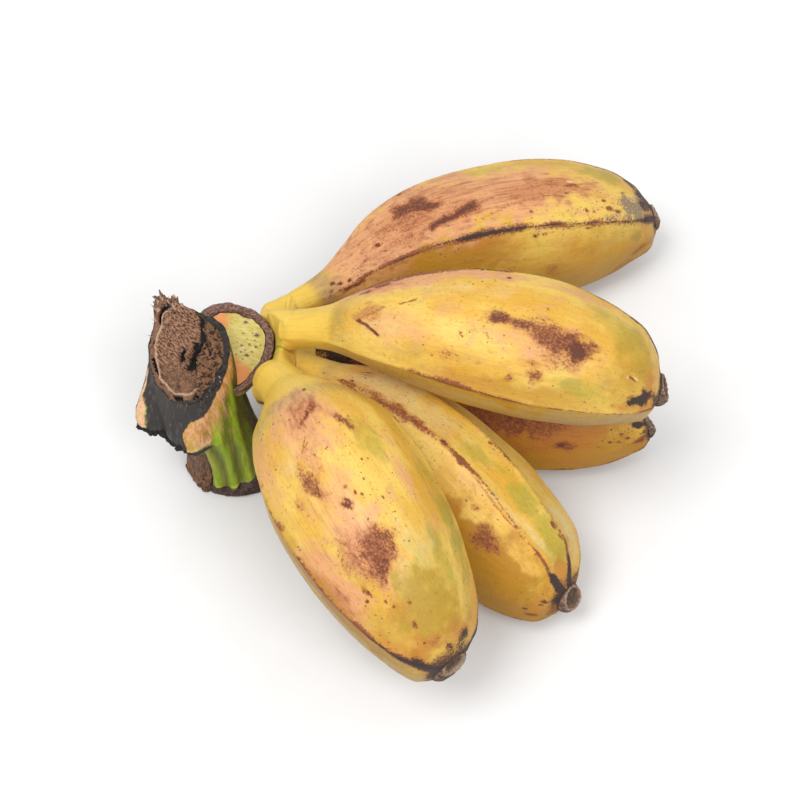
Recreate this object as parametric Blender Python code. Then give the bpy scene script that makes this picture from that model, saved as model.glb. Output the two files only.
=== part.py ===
"""A hand of five saba bananas on a short length of the bunch's stalk.

The hand lies palm down. Three fingers and the cut stalk touch the ground. X runs from the stalk to the
fingertips, Z is up, and the origin is on the ground under the middle of the hand. Every length below is
in millimetres and every angle in degrees, and MM turns a length into metres.
"""

import math

import bmesh
import bpy
import numpy as np

MM = 0.001
GAP = 0.3           # clear space between two pieces that grew together
MIDDLE = (4.36, -1.85)  # where the middle of the hand lies in the layout that the points below are given in

# A finger is a loft of angular rings along a curve. `curve` holds the curve's four handles. `girth` holds
# half its thickness at the shares of its length in GIRTH_AT, and `wide` stretches it sideways. `ridges`
# holds the angles of its edges round the curve, 90 being the top. `stub` is the length and radius of the
# dried flower end.
GIRTH_AT = (0.0, 0.08, 0.15, 0.22, 0.30, 0.40, 0.52, 0.65, 0.77, 0.87, 0.93)
FINGERS = {
    "back": dict(
        curve=((-40.5, 24.5, 38), (-7, 48.5, 32), (-5, 67.5, 29.2), (90.7, 88.7, 15.8)),
        girth=(4.4, 5.0, 6.6, 10.6, 16.4, 20.8, 23.4, 24.2, 22.4, 18.2, 13.6),
        wide=1.0, ridges=(44, 131, 213, 282), stub=(2.8, 4.8)),
    "top": dict(
        curve=((-38, 10.5, 47), (-5, -6, 69.5), (26.5, -11, 74.5), (82, -13.6, 45.6)),
        girth=(6.4, 6.2, 7.0, 9.9, 14.2, 17.9, 20.8, 22.0, 20.2, 16.4, 12.3),
        wide=1.03, ridges=(46, 170, 240, 325), stub=(5.0, 5.2)),
    "under": dict(
        curve=((-37, 18, 30), (5, 20, 17.2), (47, -12.5, 16.4), (82, 0.5, 12)),
        girth=(6.6, 6.2, 6.6, 9.0, 13.0, 16.2, 18.2, 17.7, 15.4, 12.0, 8.6),
        wide=1.0, ridges=(35, 120, 204, 275, 340), stub=(3.4, 4.4)),
    "middle": dict(
        curve=((-38.5, 9, 33), (3.5, -13, 35), (-13.5, -15, 37), (53.5, -67, 10)),
        girth=(6.4, 6.3, 7.3, 10.4, 15.0, 18.8, 21.2, 21.9, 20.1, 17.1, 12.9),
        wide=1.02, ridges=(32, 64, 99, 203, 258, 322), stub=(4.4, 4.8)),
    "front": dict(
        curve=((-41, -6, 45), (-24.3, -32, 63), (-25, -53, 65.5), (15.6, -98.8, 24.5)),
        girth=(8.2, 7.4, 8.0, 12.0, 18.0, 22.6, 24.9, 24.0, 21.1, 17.4, 13.9),
        wide=1.02, ridges=(22, 164, 236, 315), stub=(3.0, 6.2)),
}
RIDGE = 0.37          # how sharply a finger's faces turn at a ridge
FACE_STEP = 13.0      # widest angle between two points round a finger
STALK_FROM = 10.0     # from the finger's root to where its own stalk stands clear of the crown
BODY_RINGS = (0.0, 0.035, 0.07, 0.11, 0.15, 0.20, 0.26, 0.33, 0.41, 0.50,
              0.59, 0.68, 0.77, 0.84, 0.90, 0.945, 0.975, 1.0)
SHOULDER = 0.6        # how much wider a finger ends than its stub
BLUNT = 0.7           # how much of its last narrowing a finger keeps for the second half of that stretch

# The cushion is the swelling that the finger stalks grow from. It wraps round the scar's flank and stops at a
# plane across X, clear of the column.
CUSHION_CENTRE, CUSHION_HALF = (-42.5, 7.5, 37.0), (10.5, 17.0, 11.0)
CUSHION_FROM = -45.3
ROOT_INWARD = 0.55    # how far a finger's root reaches on towards the middle of the cushion

# The stalk of the bunch is a column of rings from its foot, share 0, to its upper cut, share 1.
COLUMN_AT = (0.0, 0.10, 0.28, 0.46, 0.60, 0.78, 0.92, 1.0)
COLUMN_X = (-53.2, -53.6, -55.0, -57.2, -60.6, -63.2, -64.3, -64.6)
COLUMN_Y = (-9.5, -9.5, -9.5, -8.5, -6.5, -3.5, -1.5, -0.5)
COLUMN_Z = (0.0, 5.0, 13.0, 22.0, 30.0, 40.0, 47.5, 51.5)
COLUMN_HALF_X = (15.3, 14.9, 13.0, 12.4, 12.8, 13.2, 13.6, 13.1)
COLUMN_HALF_Y = (10.5, 10.0, 9.5, 11.0, 13.6, 16.5, 18.2, 18.2)
COLUMN_TILT = (0.0, 0.03, 0.10, 0.20, 0.40, 0.75, 1.0, 1.0)
CUT_NORMAL = (-0.15, -0.45, 0.88)
COLUMN_RINGS = (0.0, 0.05, 0.12, 0.20, 0.28, 0.36, 0.44, 0.51, 0.562, 0.58, 0.605,
                0.65, 0.71, 0.78, 0.86, 0.93, 1.0)
COLUMN_POINTS = 48
RIBS, RIB_DEPTH = 12, 0.45   # the fluting of the lower column
FLAP_FROM = 0.565            # share of the column that the torn skin hangs down to
FLAP_REACH, FLAP_AT, FLAP_WIDTH = 10.3, 193.0, 17.0   # the torn flap of skin on the far side of the fingers
LIP_REACH, LIP_AT, LIP_WIDTH = 3.2, 243.0, 30.0       # and the lower lip that runs on from it
TUFT_REACH, TUFT_AT, TUFT_WIDTH = 4.2, 121.0, 14.0    # the corner where the upper cut tore
TUFT_RISE = 2.5
WORN_DEPTH, WORN_AT, WORN_WIDTH = 6.0, 78.0, 36.0      # and the side of it that is worn away
CUT_RINGS = ((0.90, 0.7), (0.76, 0.0), (0.50, -0.5), (0.25, -1.0))   # share of the way out, and height
PIT_CENTRE, PIT_HALF, PIT_TURN = (-0.2, -1.2), (2.4, 5.6, 7.0), -12.0  # the split in the upper cut

# The scar is the flat cut beside the column that a thick corky rim runs round.
SCAR_CENTRE, SCAR_NORMAL = (-49.6, 4.0, 45.0), (0.28, -0.42, 0.86)
SCAR_REACH = (10.2, 12.5, 14.0, 16.0, 13.0, 15.0, 11.8, 8.9)   # at every 45 degrees round its centre
SCAR_RINGS = ((0.30, -24.0), (0.72, -19.0), (0.98, -11.0), (1.08, -4.0), (1.03, 0.0),
              (0.97, 1.5), (0.90, 1.3), (0.84, 0.0), (0.45, 0.2))
SCAR_POINTS = 32
SCAR_ROOM = SCAR_RINGS[:5] + ((1.03, 20.0),)   # the room that the crown leaves for the scar and above it


def material(name, colour, roughness):
    made = bpy.data.materials.new(name)
    made.use_nodes = True
    shader = made.node_tree.nodes["Principled BSDF"]
    shader.inputs["Base Color"].default_value = (*colour, 1.0)
    shader.inputs["Roughness"].default_value = roughness
    shader.inputs["Metallic"].default_value = 0.0
    return made


def eased(stations, values, at):
    """A smooth curve through the values that never overshoots between two of them."""
    stations, values = np.array(stations, float), np.array(values, float)
    slope = np.diff(values) / np.diff(stations)
    inner = np.where(slope[:-1] * slope[1:] > 0,
                     2 * slope[:-1] * slope[1:] / (slope[:-1] + slope[1:] + 1e-12), 0)
    tangent = np.concatenate([slope[:1], inner, slope[-1:]])
    i = np.clip(np.searchsorted(stations, at) - 1, 0, len(stations) - 2)
    step = stations[i + 1] - stations[i]
    t = (at - stations[i]) / step
    return ((2 * t**3 - 3 * t**2 + 1) * values[i] + (t**3 - 2 * t**2 + t) * step * tangent[i]
            + (3 * t**2 - 2 * t**3) * values[i + 1] + (t**3 - t**2) * step * tangent[i + 1])


def smooth_step(x):
    x = np.clip(x, 0, 1)
    return x * x * (3 - 2 * x)


def turn_between(angle, other):
    """The angle from `other` to `angle`, from -180 to 180."""
    return (angle - other + 180) % 360 - 180


def bump(angle, at, width):
    return np.exp(-(turn_between(angle, at) / width) ** 2)


def unit(vectors):
    return vectors / np.linalg.norm(vectors, axis=-1, keepdims=True)


def bezier(handles, t):
    a, b, c, d = (np.array(h, float) for h in handles)
    t = np.asarray(t, float)[:, None]
    return a * (1 - t) ** 3 + 3 * b * t * (1 - t) ** 2 + 3 * c * t**2 * (1 - t) + d * t**3


def along(handles, shares):
    """Points and directions at shares of the curve's length, and that length."""
    even = np.linspace(0, 1, 401)
    points = bezier(handles, even)
    run = np.concatenate([[0], np.cumsum(np.linalg.norm(np.diff(points, axis=0), axis=1))])
    t = np.interp(np.asarray(shares) * run[-1], run, even)
    ahead = bezier(handles, np.minimum(t + 1e-3, 1)) - bezier(handles, np.maximum(t - 1e-3, 0))
    return bezier(handles, t), unit(ahead), run[-1]


def ridge_angles(ridges):
    """Angles round a finger with a point on every ridge and even steps across each face."""
    ends = list(ridges[1:]) + [ridges[0] + 360]
    angles = []
    for start, end in zip(ridges, ends):
        steps = math.ceil((end - start) / FACE_STEP)
        angles += [start + (end - start) * i / steps for i in range(steps)]
    return np.array(angles)


def angular_reach(angles, ridges):
    """1 on a ridge, and drawn in towards the chord between two ridges on the face that joins them."""
    ridges = np.array(ridges, float)
    i = np.searchsorted(ridges, angles, side="right") - 1
    start = ridges[i]
    end = np.append(ridges[1:], ridges[0] + 360)[i]
    half = np.radians(end - start) / 2
    from_middle = np.radians(angles - (start + end) / 2)
    chord = np.cos(half) / np.cos(from_middle)
    return 1 - np.minimum(RIDGE / np.tan(half), 1) * (1 - chord)


def finger_girth(finger, shares, length):
    end, narrow, wide = 1 - finger["stub"][0] / length, finger["stub"][1] + SHOULDER, finger["girth"][-1]
    stations = GIRTH_AT + ((GIRTH_AT[-1] + end) / 2, end)
    return eased(stations, finger["girth"] + (narrow + BLUNT * (wide - narrow), narrow), shares)


def finger_rings(finger, shares, radii, angles, reach):
    """One ring of points square to the curve at each share. Nothing goes below the ground."""
    centres, ahead, _ = along(finger["curve"], shares)
    up = unit(np.array([0, 0, 1.0]) - ahead[:, 2:] * ahead)
    side = np.cross(up, ahead)
    across = (np.cos(np.radians(angles)) * reach * finger["wide"])[None, :, None] * side[:, None]
    rise = (np.sin(np.radians(angles)) * reach)[None, :, None] * up[:, None]
    rings = centres[:, None] + np.asarray(radii)[:, None, None] * (across + rise)
    rings[..., 2] = np.maximum(rings[..., 2], 0)
    return rings


def make_loft(name, rings, collection, look=None):
    """A closed skin over the rings, with a flat face on the first ring and on the last."""
    shape = bmesh.new()
    loops = []
    for ring in rings:
        verts = [shape.verts.new(((x - MIDDLE[0]) * MM, (y - MIDDLE[1]) * MM, z * MM)) for x, y, z in ring]
        loops.append([shape.edges.new((verts[i - 1], verts[i])) for i in range(len(verts))])
    for first, second in zip(loops, loops[1:]):
        bmesh.ops.bridge_loops(shape, edges=first + second)
    bmesh.ops.holes_fill(shape, edges=loops[0] + loops[-1])
    bmesh.ops.recalc_face_normals(shape, faces=shape.faces[:])
    mesh = bpy.data.meshes.new(name)
    shape.to_mesh(mesh)
    shape.free()
    made = bpy.data.objects.new(name, mesh)
    collection.objects.link(made)
    if look is not None:
        mesh.materials.append(look)
        mesh.shade_smooth()
    return made


def finger_body(name, finger, collection, look):
    length = along(finger["curve"], [0, 1])[2]
    start, end = STALK_FROM / length, 1 - finger["stub"][0] / length
    shares = start + (end - start) * np.array(BODY_RINGS)
    angles = ridge_angles(finger["ridges"])
    rings = finger_rings(finger, shares, finger_girth(finger, shares, length), angles,
                         angular_reach(angles, finger["ridges"]))
    return make_loft(name, rings, collection, look)


def flower_end(name, finger, collection, look):
    """The dried stub at the fingertip: a short collar with a hollowed end."""
    length = along(finger["curve"], [0, 1])[2]
    stub_length, radius = finger["stub"]
    start = 1 - (stub_length - GAP) / length
    shares = start + (1 - start) * np.array((0.0, 0.35, 0.70, 0.94, 1.0, 0.88))
    radii = radius * np.array((1.0, 1.04, 0.98, 0.84, 0.60, 0.25))
    angles = np.arange(0, 360, 360 / 14)
    return make_loft(name, finger_rings(finger, shares, radii, angles, np.ones(14)), collection, look)


def finger_root(name, finger, collection):
    """The first stretch of a finger's stalk, which is part of the crown, from inside the cushion."""
    length = along(finger["curve"], [0, 1])[2]
    shares = np.linspace(0, (STALK_FROM - GAP) / length, 4)
    angles = ridge_angles(finger["ridges"])[::2]
    rings = finger_rings(finger, shares, finger_girth(finger, shares, length), angles,
                         angular_reach(angles, finger["ridges"]))
    inward = ROOT_INWARD * (np.array(CUSHION_CENTRE) - finger["curve"][0])
    return make_loft(name, [rings[0] + inward] + list(rings), collection)


def boolean(target, operation, tool):
    cut = target.modifiers.new(operation.lower(), "BOOLEAN")
    cut.operation = operation
    cut.solver = "EXACT"
    if isinstance(tool, bpy.types.Collection):
        cut.operand_type = "COLLECTION"
        cut.collection = tool
    else:
        cut.object = tool


def stalk_side_block(collection):
    """A large block that ends at the plane where the cushion stops."""
    size = 120.0
    location = ((CUSHION_FROM - size / 2 - MIDDLE[0]) * MM, 0.0, size / 2 * MM)
    bpy.ops.mesh.primitive_cube_add(size=size * MM, location=location)
    block = bpy.context.object
    block.name = "stalk_side"
    move_to(block, collection)
    return block


def move_to(item, collection):
    for holder in list(item.users_collection):
        holder.objects.unlink(item)
    collection.objects.link(item)


def make_cushion(name, collection):
    bpy.ops.mesh.primitive_uv_sphere_add(segments=28, ring_count=16, radius=1.0)
    cushion = bpy.context.object
    cushion.name = name
    cushion.scale = [half * MM for half in CUSHION_HALF]
    x, y, z = CUSHION_CENTRE
    cushion.location = ((x - MIDDLE[0]) * MM, (y - MIDDLE[1]) * MM, z * MM)
    cushion.data.shade_smooth()
    move_to(cushion, collection)
    return cushion


def make_crown(collection, cutters, look):
    crown = make_cushion("crown", collection)
    crown.data.materials.append(look)
    roots = bpy.data.collections.new("crown_roots")
    cutters.children.link(roots)
    for name, finger in FINGERS.items():
        finger_root(f"root_{name}", finger, roots)
    boolean(crown, "UNION", roots)
    boolean(crown, "DIFFERENCE", make_loft("scar_room", scar_rings(SCAR_ROOM, GAP), cutters))
    boolean(crown, "DIFFERENCE", stalk_side_block(cutters))
    return crown


def tilted_axes(normals):
    """A level-ish axis to the right and one up the slope, both square to each normal."""
    normals = unit(np.atleast_2d(normals))
    right = unit(np.array([1.0, 0, 0]) - normals[:, :1] * normals)
    return normals, right, np.cross(normals, right)


def column_rings(shares, angles):
    """Rings of the column: ellipses, with the flap and lip over a step, and the torn corner."""
    shares = np.asarray(shares, float)
    centres = np.stack([eased(COLUMN_AT, v, shares) for v in (COLUMN_X, COLUMN_Y, COLUMN_Z)], axis=1)
    tilt = eased(COLUMN_AT, COLUMN_TILT, shares)[:, None]
    normals, right, upslope = tilted_axes(
        (1 - tilt) * np.array([0, 0, 1.0]) + tilt * unit(np.array(CUT_NORMAL)))
    half_x = eased(COLUMN_AT, COLUMN_HALF_X, shares)[:, None]
    half_y = eased(COLUMN_AT, COLUMN_HALF_Y, shares)[:, None]
    cosine, sine = np.cos(np.radians(angles))[None], np.sin(np.radians(angles))[None]
    reach = 1 / np.sqrt((cosine / half_x) ** 2 + (sine / half_y) ** 2)
    above = shares[:, None] - FLAP_FROM
    spread = FLAP_REACH * bump(angles, FLAP_AT, FLAP_WIDTH) + LIP_REACH * bump(angles, LIP_AT, LIP_WIDTH)
    reach = reach + spread[None] * smooth_step(above / 0.04) * (1 - smooth_step(above / 0.42))
    corner = bump(angles, TUFT_AT, TUFT_WIDTH)[None]
    reach = reach + TUFT_REACH * tilt * corner - WORN_DEPTH * tilt**3 * bump(angles, WORN_AT, WORN_WIDTH)
    ribbed = smooth_step(shares[:, None] / 0.1) * (1 - smooth_step((shares[:, None] - 0.3) / 0.3))
    reach = reach + RIB_DEPTH * ribbed * np.cos(np.radians(RIBS * angles))
    rise = TUFT_RISE * corner * smooth_step((shares[:, None] - 0.9) / 0.1)
    rings = (centres[:, None] + (reach * cosine)[..., None] * right[:, None]
             + (reach * sine)[..., None] * upslope[:, None] + rise[..., None] * normals[:, None])
    rings[..., 2] = np.maximum(rings[..., 2], 0)
    return rings


def column_with_cut():
    """The column's rings, then smaller and smaller ones across its upper cut."""
    angles = np.arange(COLUMN_POINTS) * 360 / COLUMN_POINTS
    rings = column_rings(COLUMN_RINGS, angles)
    rim = rings[-1]
    centre = rim.mean(axis=0)
    normal = unit(np.array(CUT_NORMAL))
    cut = [centre + (rim - centre) * share + normal * height for share, height in CUT_RINGS]
    return list(rings) + cut


def scar_rings(profile, clear):
    """Rings round the scar: up its flank, over the corky rim and in across the flat cut, moved out by `clear`."""
    angles = np.arange(SCAR_POINTS) * 360 / SCAR_POINTS
    reach = eased(np.arange(-2, 11) * 45, np.take(SCAR_REACH, np.arange(-2, 11), mode="wrap"), angles)
    normals, right, upslope = tilted_axes(SCAR_NORMAL)
    turned = np.radians(angles)[:, None]
    outline = reach[:, None] * (np.cos(turned) * right + np.sin(turned) * upslope)
    outward = clear * unit(outline)
    return [np.array(SCAR_CENTRE) + share * outline + outward + height * normals for share, height in profile]


def make_pit(cutters):
    """The cutter for the split in the upper cut."""
    normals, right, upslope = tilted_axes(CUT_NORMAL)
    rim = column_rings([1.0], np.arange(COLUMN_POINTS) * 360 / COLUMN_POINTS)[0]
    turn = math.radians(PIT_TURN)
    across = math.cos(turn) * right[0] + math.sin(turn) * upslope[0]
    length = math.cos(turn) * upslope[0] - math.sin(turn) * right[0]
    centre = rim.mean(axis=0) + PIT_CENTRE[0] * right[0] + PIT_CENTRE[1] * upslope[0]
    rings = []
    for height in np.linspace(-0.92, 0.92, 9):
        level = math.sqrt(1 - height * height)
        turned = np.radians(np.arange(0, 360, 20))[:, None]
        rings.append(centre + height * PIT_HALF[2] * normals[0]
                     + level * (PIT_HALF[0] * np.cos(turned) * across + PIT_HALF[1] * np.sin(turned) * length))
    return make_loft("pit", rings, cutters)


def make_stem(collection, cutters, look):
    stem = make_loft("stem", column_with_cut(), collection, look)
    boolean(stem, "UNION", make_loft("scar", scar_rings(SCAR_RINGS, 0.0), cutters))
    boolean(stem, "DIFFERENCE", make_pit(cutters))
    return stem


def clear_scene():
    for item in list(bpy.data.objects):
        bpy.data.objects.remove(item, do_unlink=True)


def main():
    clear_scene()
    hand = bpy.data.collections.new("saba_banana_hand")
    cutters = bpy.data.collections.new("cutters")
    for holder in (hand, cutters):
        bpy.context.scene.collection.children.link(holder)
    stalk_look = material("stalk", (0.20, 0.17, 0.10), 0.8)
    crown_look = material("crown", (0.72, 0.58, 0.12), 0.5)
    peel_look = material("peel", (0.78, 0.55, 0.16), 0.45)
    flower_look = material("flower_end", (0.17, 0.11, 0.08), 0.85)
    make_stem(hand, cutters, stalk_look)
    make_crown(hand, cutters, crown_look)
    for name, finger in FINGERS.items():
        finger_body(f"banana_{name}", finger, hand, peel_look)
        flower_end(f"tip_{name}", finger, hand, flower_look)
    for cutter in cutters.all_objects:
        cutter.hide_render = True
        cutter.display_type = "WIRE"


main()
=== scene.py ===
import math

import bpy
import numpy as np
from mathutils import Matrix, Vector


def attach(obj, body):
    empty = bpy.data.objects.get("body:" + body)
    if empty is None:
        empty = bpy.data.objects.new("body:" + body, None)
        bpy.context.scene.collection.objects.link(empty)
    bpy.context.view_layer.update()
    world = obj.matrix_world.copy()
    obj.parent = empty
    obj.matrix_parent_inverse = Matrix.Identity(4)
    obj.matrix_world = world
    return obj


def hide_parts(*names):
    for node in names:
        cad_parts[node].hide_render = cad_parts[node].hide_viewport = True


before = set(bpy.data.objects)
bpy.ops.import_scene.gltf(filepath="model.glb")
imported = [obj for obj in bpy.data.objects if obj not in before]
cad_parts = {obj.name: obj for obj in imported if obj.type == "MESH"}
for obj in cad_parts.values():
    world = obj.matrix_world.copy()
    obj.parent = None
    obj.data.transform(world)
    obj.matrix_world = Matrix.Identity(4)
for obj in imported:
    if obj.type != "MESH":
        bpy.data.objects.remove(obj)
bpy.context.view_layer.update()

mm = 0.001
layoutMiddle = np.array([4.36, -1.85, 0.0])   # the layout's point that lies over the frame's origin


# Numbers -> shapes

def smoothStep(low, high, x):
    # 0 below low, 1 above high, and 3t^2 - 2t^3 between them
    t = np.clip((x - low) / (high - low), 0, 1)
    return t * t * (3 - 2 * t)


def window(x, opening, opened, closing, closed):
    # 1 from opened to closing, easing to 0 at opening and at closed
    return smoothStep(opening, opened, x) * (1 - smoothStep(closing, closed, x))


def bump(distance, width):
    # exp(-(distance / width)^2)
    return np.exp(-(distance / width) ** 2)


def turnBetween(angle, other):
    # the shorter way round from other to angle, from -180 to 180
    return (angle - other + 180) % 360 - 180


def unit(vectors):
    return vectors / np.linalg.norm(vectors, axis=-1, keepdims=True)


def easedCurve(stations, values, at):
    # cubic pieces through the values, with each inner slope the harmonic mean of its neighbours
    stations, values = np.array(stations, float), np.array(values, float)
    at = np.clip(at, stations[0], stations[-1])
    slope = np.diff(values) / np.diff(stations)
    product = slope[:-1] * slope[1:]
    inner = np.where(product > 0, 2 * product / (slope[:-1] + slope[1:] + 1e-12), 0)
    tangent = np.concatenate([slope[:1], inner, slope[-1:]])
    i = np.clip(np.searchsorted(stations, at) - 1, 0, len(stations) - 2)
    step = stations[i + 1] - stations[i]
    t = (at - stations[i]) / step
    return ((2 * t**3 - 3 * t**2 + 1) * values[i] + (t**3 - 2 * t**2 + t) * step * tangent[i]
            + (3 * t**2 - 2 * t**3) * values[i + 1] + (t**3 - t**2) * step * tangent[i + 1])


def cloudNoise(points, size, seed, octaves=3):
    # random values on a cubic lattice that repeats after 32 cells, blended smoothly; each octave has half the
    # size and half the weight, and the result runs from about -1 to 1
    cells, total, weight = 32, np.zeros(points.shape[:-1]), 0.0
    for octave in range(octaves):
        table = np.random.RandomState(seed + 17 * octave).rand(cells, cells, cells) * 2 - 1
        scaled = points * (2**octave / size) + 1000
        cell = np.floor(scaled).astype(int)
        part = scaled - cell
        part = part * part * (3 - 2 * part)
        for corner in range(8):
            bits = np.array([corner & 1, corner >> 1 & 1, corner >> 2])
            share = np.where(bits, part, 1 - part).prod(axis=-1)
            at = (cell + bits) % cells
            total += share * table[at[..., 0], at[..., 1], at[..., 2]] / 2**octave
        weight += 1 / 2**octave
    return total / weight * 1.6


def bezier(handles, t):
    # a(1-t)^3 + 3bt(1-t)^2 + 3ct^2(1-t) + dt^3
    a, b, c, d = (np.array(handle, float) for handle in handles)
    t = np.asarray(t, float)[:, None]
    return a * (1 - t) ** 3 + 3 * b * t * (1 - t) ** 2 + 3 * c * t**2 * (1 - t) + d * t**3


def alongCurve(handles, shares):
    # points and directions at shares of the curve's own length, and that length
    even = np.linspace(0, 1, 801)
    run = np.concatenate([[0], np.cumsum(np.linalg.norm(np.diff(bezier(handles, even), axis=0), axis=1))])
    t = np.interp(np.asarray(shares) * run[-1], run, even)
    ahead = bezier(handles, np.minimum(t + 1e-3, 1)) - bezier(handles, np.maximum(t - 1e-3, 0))
    return bezier(handles, t), unit(ahead), run[-1]


def levelFrame(ahead):
    # sideways and up, both square to the way ahead
    up = unit(np.array([0, 0, 1.0]) - ahead[:, 2:] * ahead)
    return np.cross(up, ahead), up


def tiltedAxes(normals):
    # to the right and up the slope, both square to the normal
    right = unit(np.array([1.0, 0, 0]) - normals[..., :1] * normals)
    return right, np.cross(normals, right)


def ringPoints(centres, side, up, x, y):
    # centre + x * side + y * up, for each ring of x and y
    return centres[:, None] + x[..., None] * side[:, None] + y[..., None] * up[:, None]


def ballDirections(down, turned):
    # (cos down, sin down * cos turned, sin down * sin turned), with the poles along the first axis
    parts = np.cos(down), np.sin(down) * np.cos(turned), np.sin(down) * np.sin(turned)
    return np.stack(np.broadcast_arrays(*parts), axis=-1)


def trackMask(x, y, track, width):
    # exp(-(distance / width)^2) for the distance to a line through the track's points
    nearest = np.full(np.broadcast(x, y).shape, 1e9)
    for (startX, startY), (endX, endY) in zip(track[:-1], track[1:]):
        alongX, alongY = endX - startX, endY - startY
        t = np.clip(((x - startX) * alongX + (y - startY) * alongY) / (alongX**2 + alongY**2), 0, 1)
        nearest = np.minimum(nearest, np.hypot(x - startX - t * alongX, y - startY - t * alongY))
    return bump(nearest, width)


# Shapes -> meshes

def closeGrid(values):
    # a grid's rows one after another, then the middle of the first row and the middle of the last
    flat = values.reshape(-1, values.shape[-1])
    return np.concatenate([flat, values[:1].mean(axis=1), values[-1:].mean(axis=1)])


def fourMasks(*masks):
    # up to four masks side by side, as one colour attribute holds them
    return np.stack(np.broadcast_arrays(*masks, *[0.0] * (4 - len(masks))), axis=-1)


def tubeFaces(index):
    # quads between neighbouring rings of numbered points, joined all the way round
    beside = np.roll(index, -1, axis=-1)
    corners = index[..., :-1, :], beside[..., :-1, :], beside[..., 1:, :], index[..., 1:, :]
    return np.stack(corners, axis=-1).reshape(-1, 4)


def gridFaces(rows, columns):
    # a tube of rows rings, and a fan of triangles at each end
    index = np.arange(rows * columns).reshape(rows, columns)
    beside = np.roll(index, -1, axis=1)
    start = np.stack([beside[0], index[0], np.full(columns, rows * columns)], axis=-1)
    end = np.stack([index[-1], beside[-1], np.full(columns, rows * columns + 1)], axis=-1)
    return [tubeFaces(index), np.concatenate([start, end])]


def looseFaces(count, rows, columns):
    # the quads of many separate short tubes, and a flat face at each of their ends
    index = np.arange(count * rows * columns).reshape(count, rows, columns)
    return [tubeFaces(index), np.concatenate([index[:, 0, ::-1], index[:, -1]])]


def makePiece(name, points, faceSets, masks, material, slot, *nodes):
    # puts the arrays into a mesh whose faces point outwards, and hangs it on the frame
    first, second, third = (points[faceSets[0][:, k]] for k in range(3))
    if np.einsum("ij,ij->", first - points.mean(axis=0), np.cross(second - first, third - first)) < 0:
        faceSets = [faces[:, ::-1] for faces in faceSets]
    corners = np.concatenate([faces.ravel() for faces in faceSets]).astype(np.int32)
    sizes = np.concatenate([np.full(len(faces), faces.shape[1]) for faces in faceSets])
    starts = np.concatenate([[0], np.cumsum(sizes)[:-1]]).astype(np.int32)
    mesh = bpy.data.meshes.new(name)
    mesh.vertices.add(len(points))
    mesh.vertices.foreach_set("co", ((points - layoutMiddle) * mm).astype(np.float32).ravel())
    mesh.loops.add(len(corners))
    mesh.loops.foreach_set("vertex_index", corners)
    mesh.polygons.add(len(sizes))
    mesh.polygons.foreach_set("loop_start", starts)
    mesh.polygons.foreach_set("use_smooth", np.ones(len(sizes), bool))
    for maskName, values in masks.items():
        kind, field = ("FLOAT_VECTOR", "vector") if values.shape[1] == 3 else ("FLOAT_COLOR", "color")
        layer = mesh.attributes.new(maskName, kind, "POINT")
        layer.data.foreach_set(field, values.astype(np.float32).ravel())
    mesh.update(calc_edges=True)
    mesh.materials.append(material)
    piece = bpy.data.objects.new(name, mesh)
    bpy.context.scene.collection.objects.link(piece)
    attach(piece, "root")
    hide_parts(*nodes)
    low, high = (points - layoutMiddle).min(axis=0), (points - layoutMiddle).max(axis=0)
    print(f"{name}: {len(points)} points, from {low.round(1)} to {high.round(1)}")


def makeGridPiece(name, points, masks, material, slot, node):
    closed = {key: closeGrid(values) for key, values in masks.items()}
    makePiece(name, closeGrid(points), gridFaces(*points.shape[:2]), closed, material, slot, node)


# Colours and nodes

upwardLight = 1.25   # how much brighter than its own colour the studio makes an upward face


def paint(red, green, blue):
    # the linear colour that looks like this screen colour, 0 to 255, once the studio's light is on it
    screen = np.array([red, green, blue]) / 255
    linear = np.where(screen > 0.04045, ((screen + 0.055) / 1.055) ** 2.4, screen / 12.92)
    return (*linear / upwardLight, 1.0)


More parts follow.
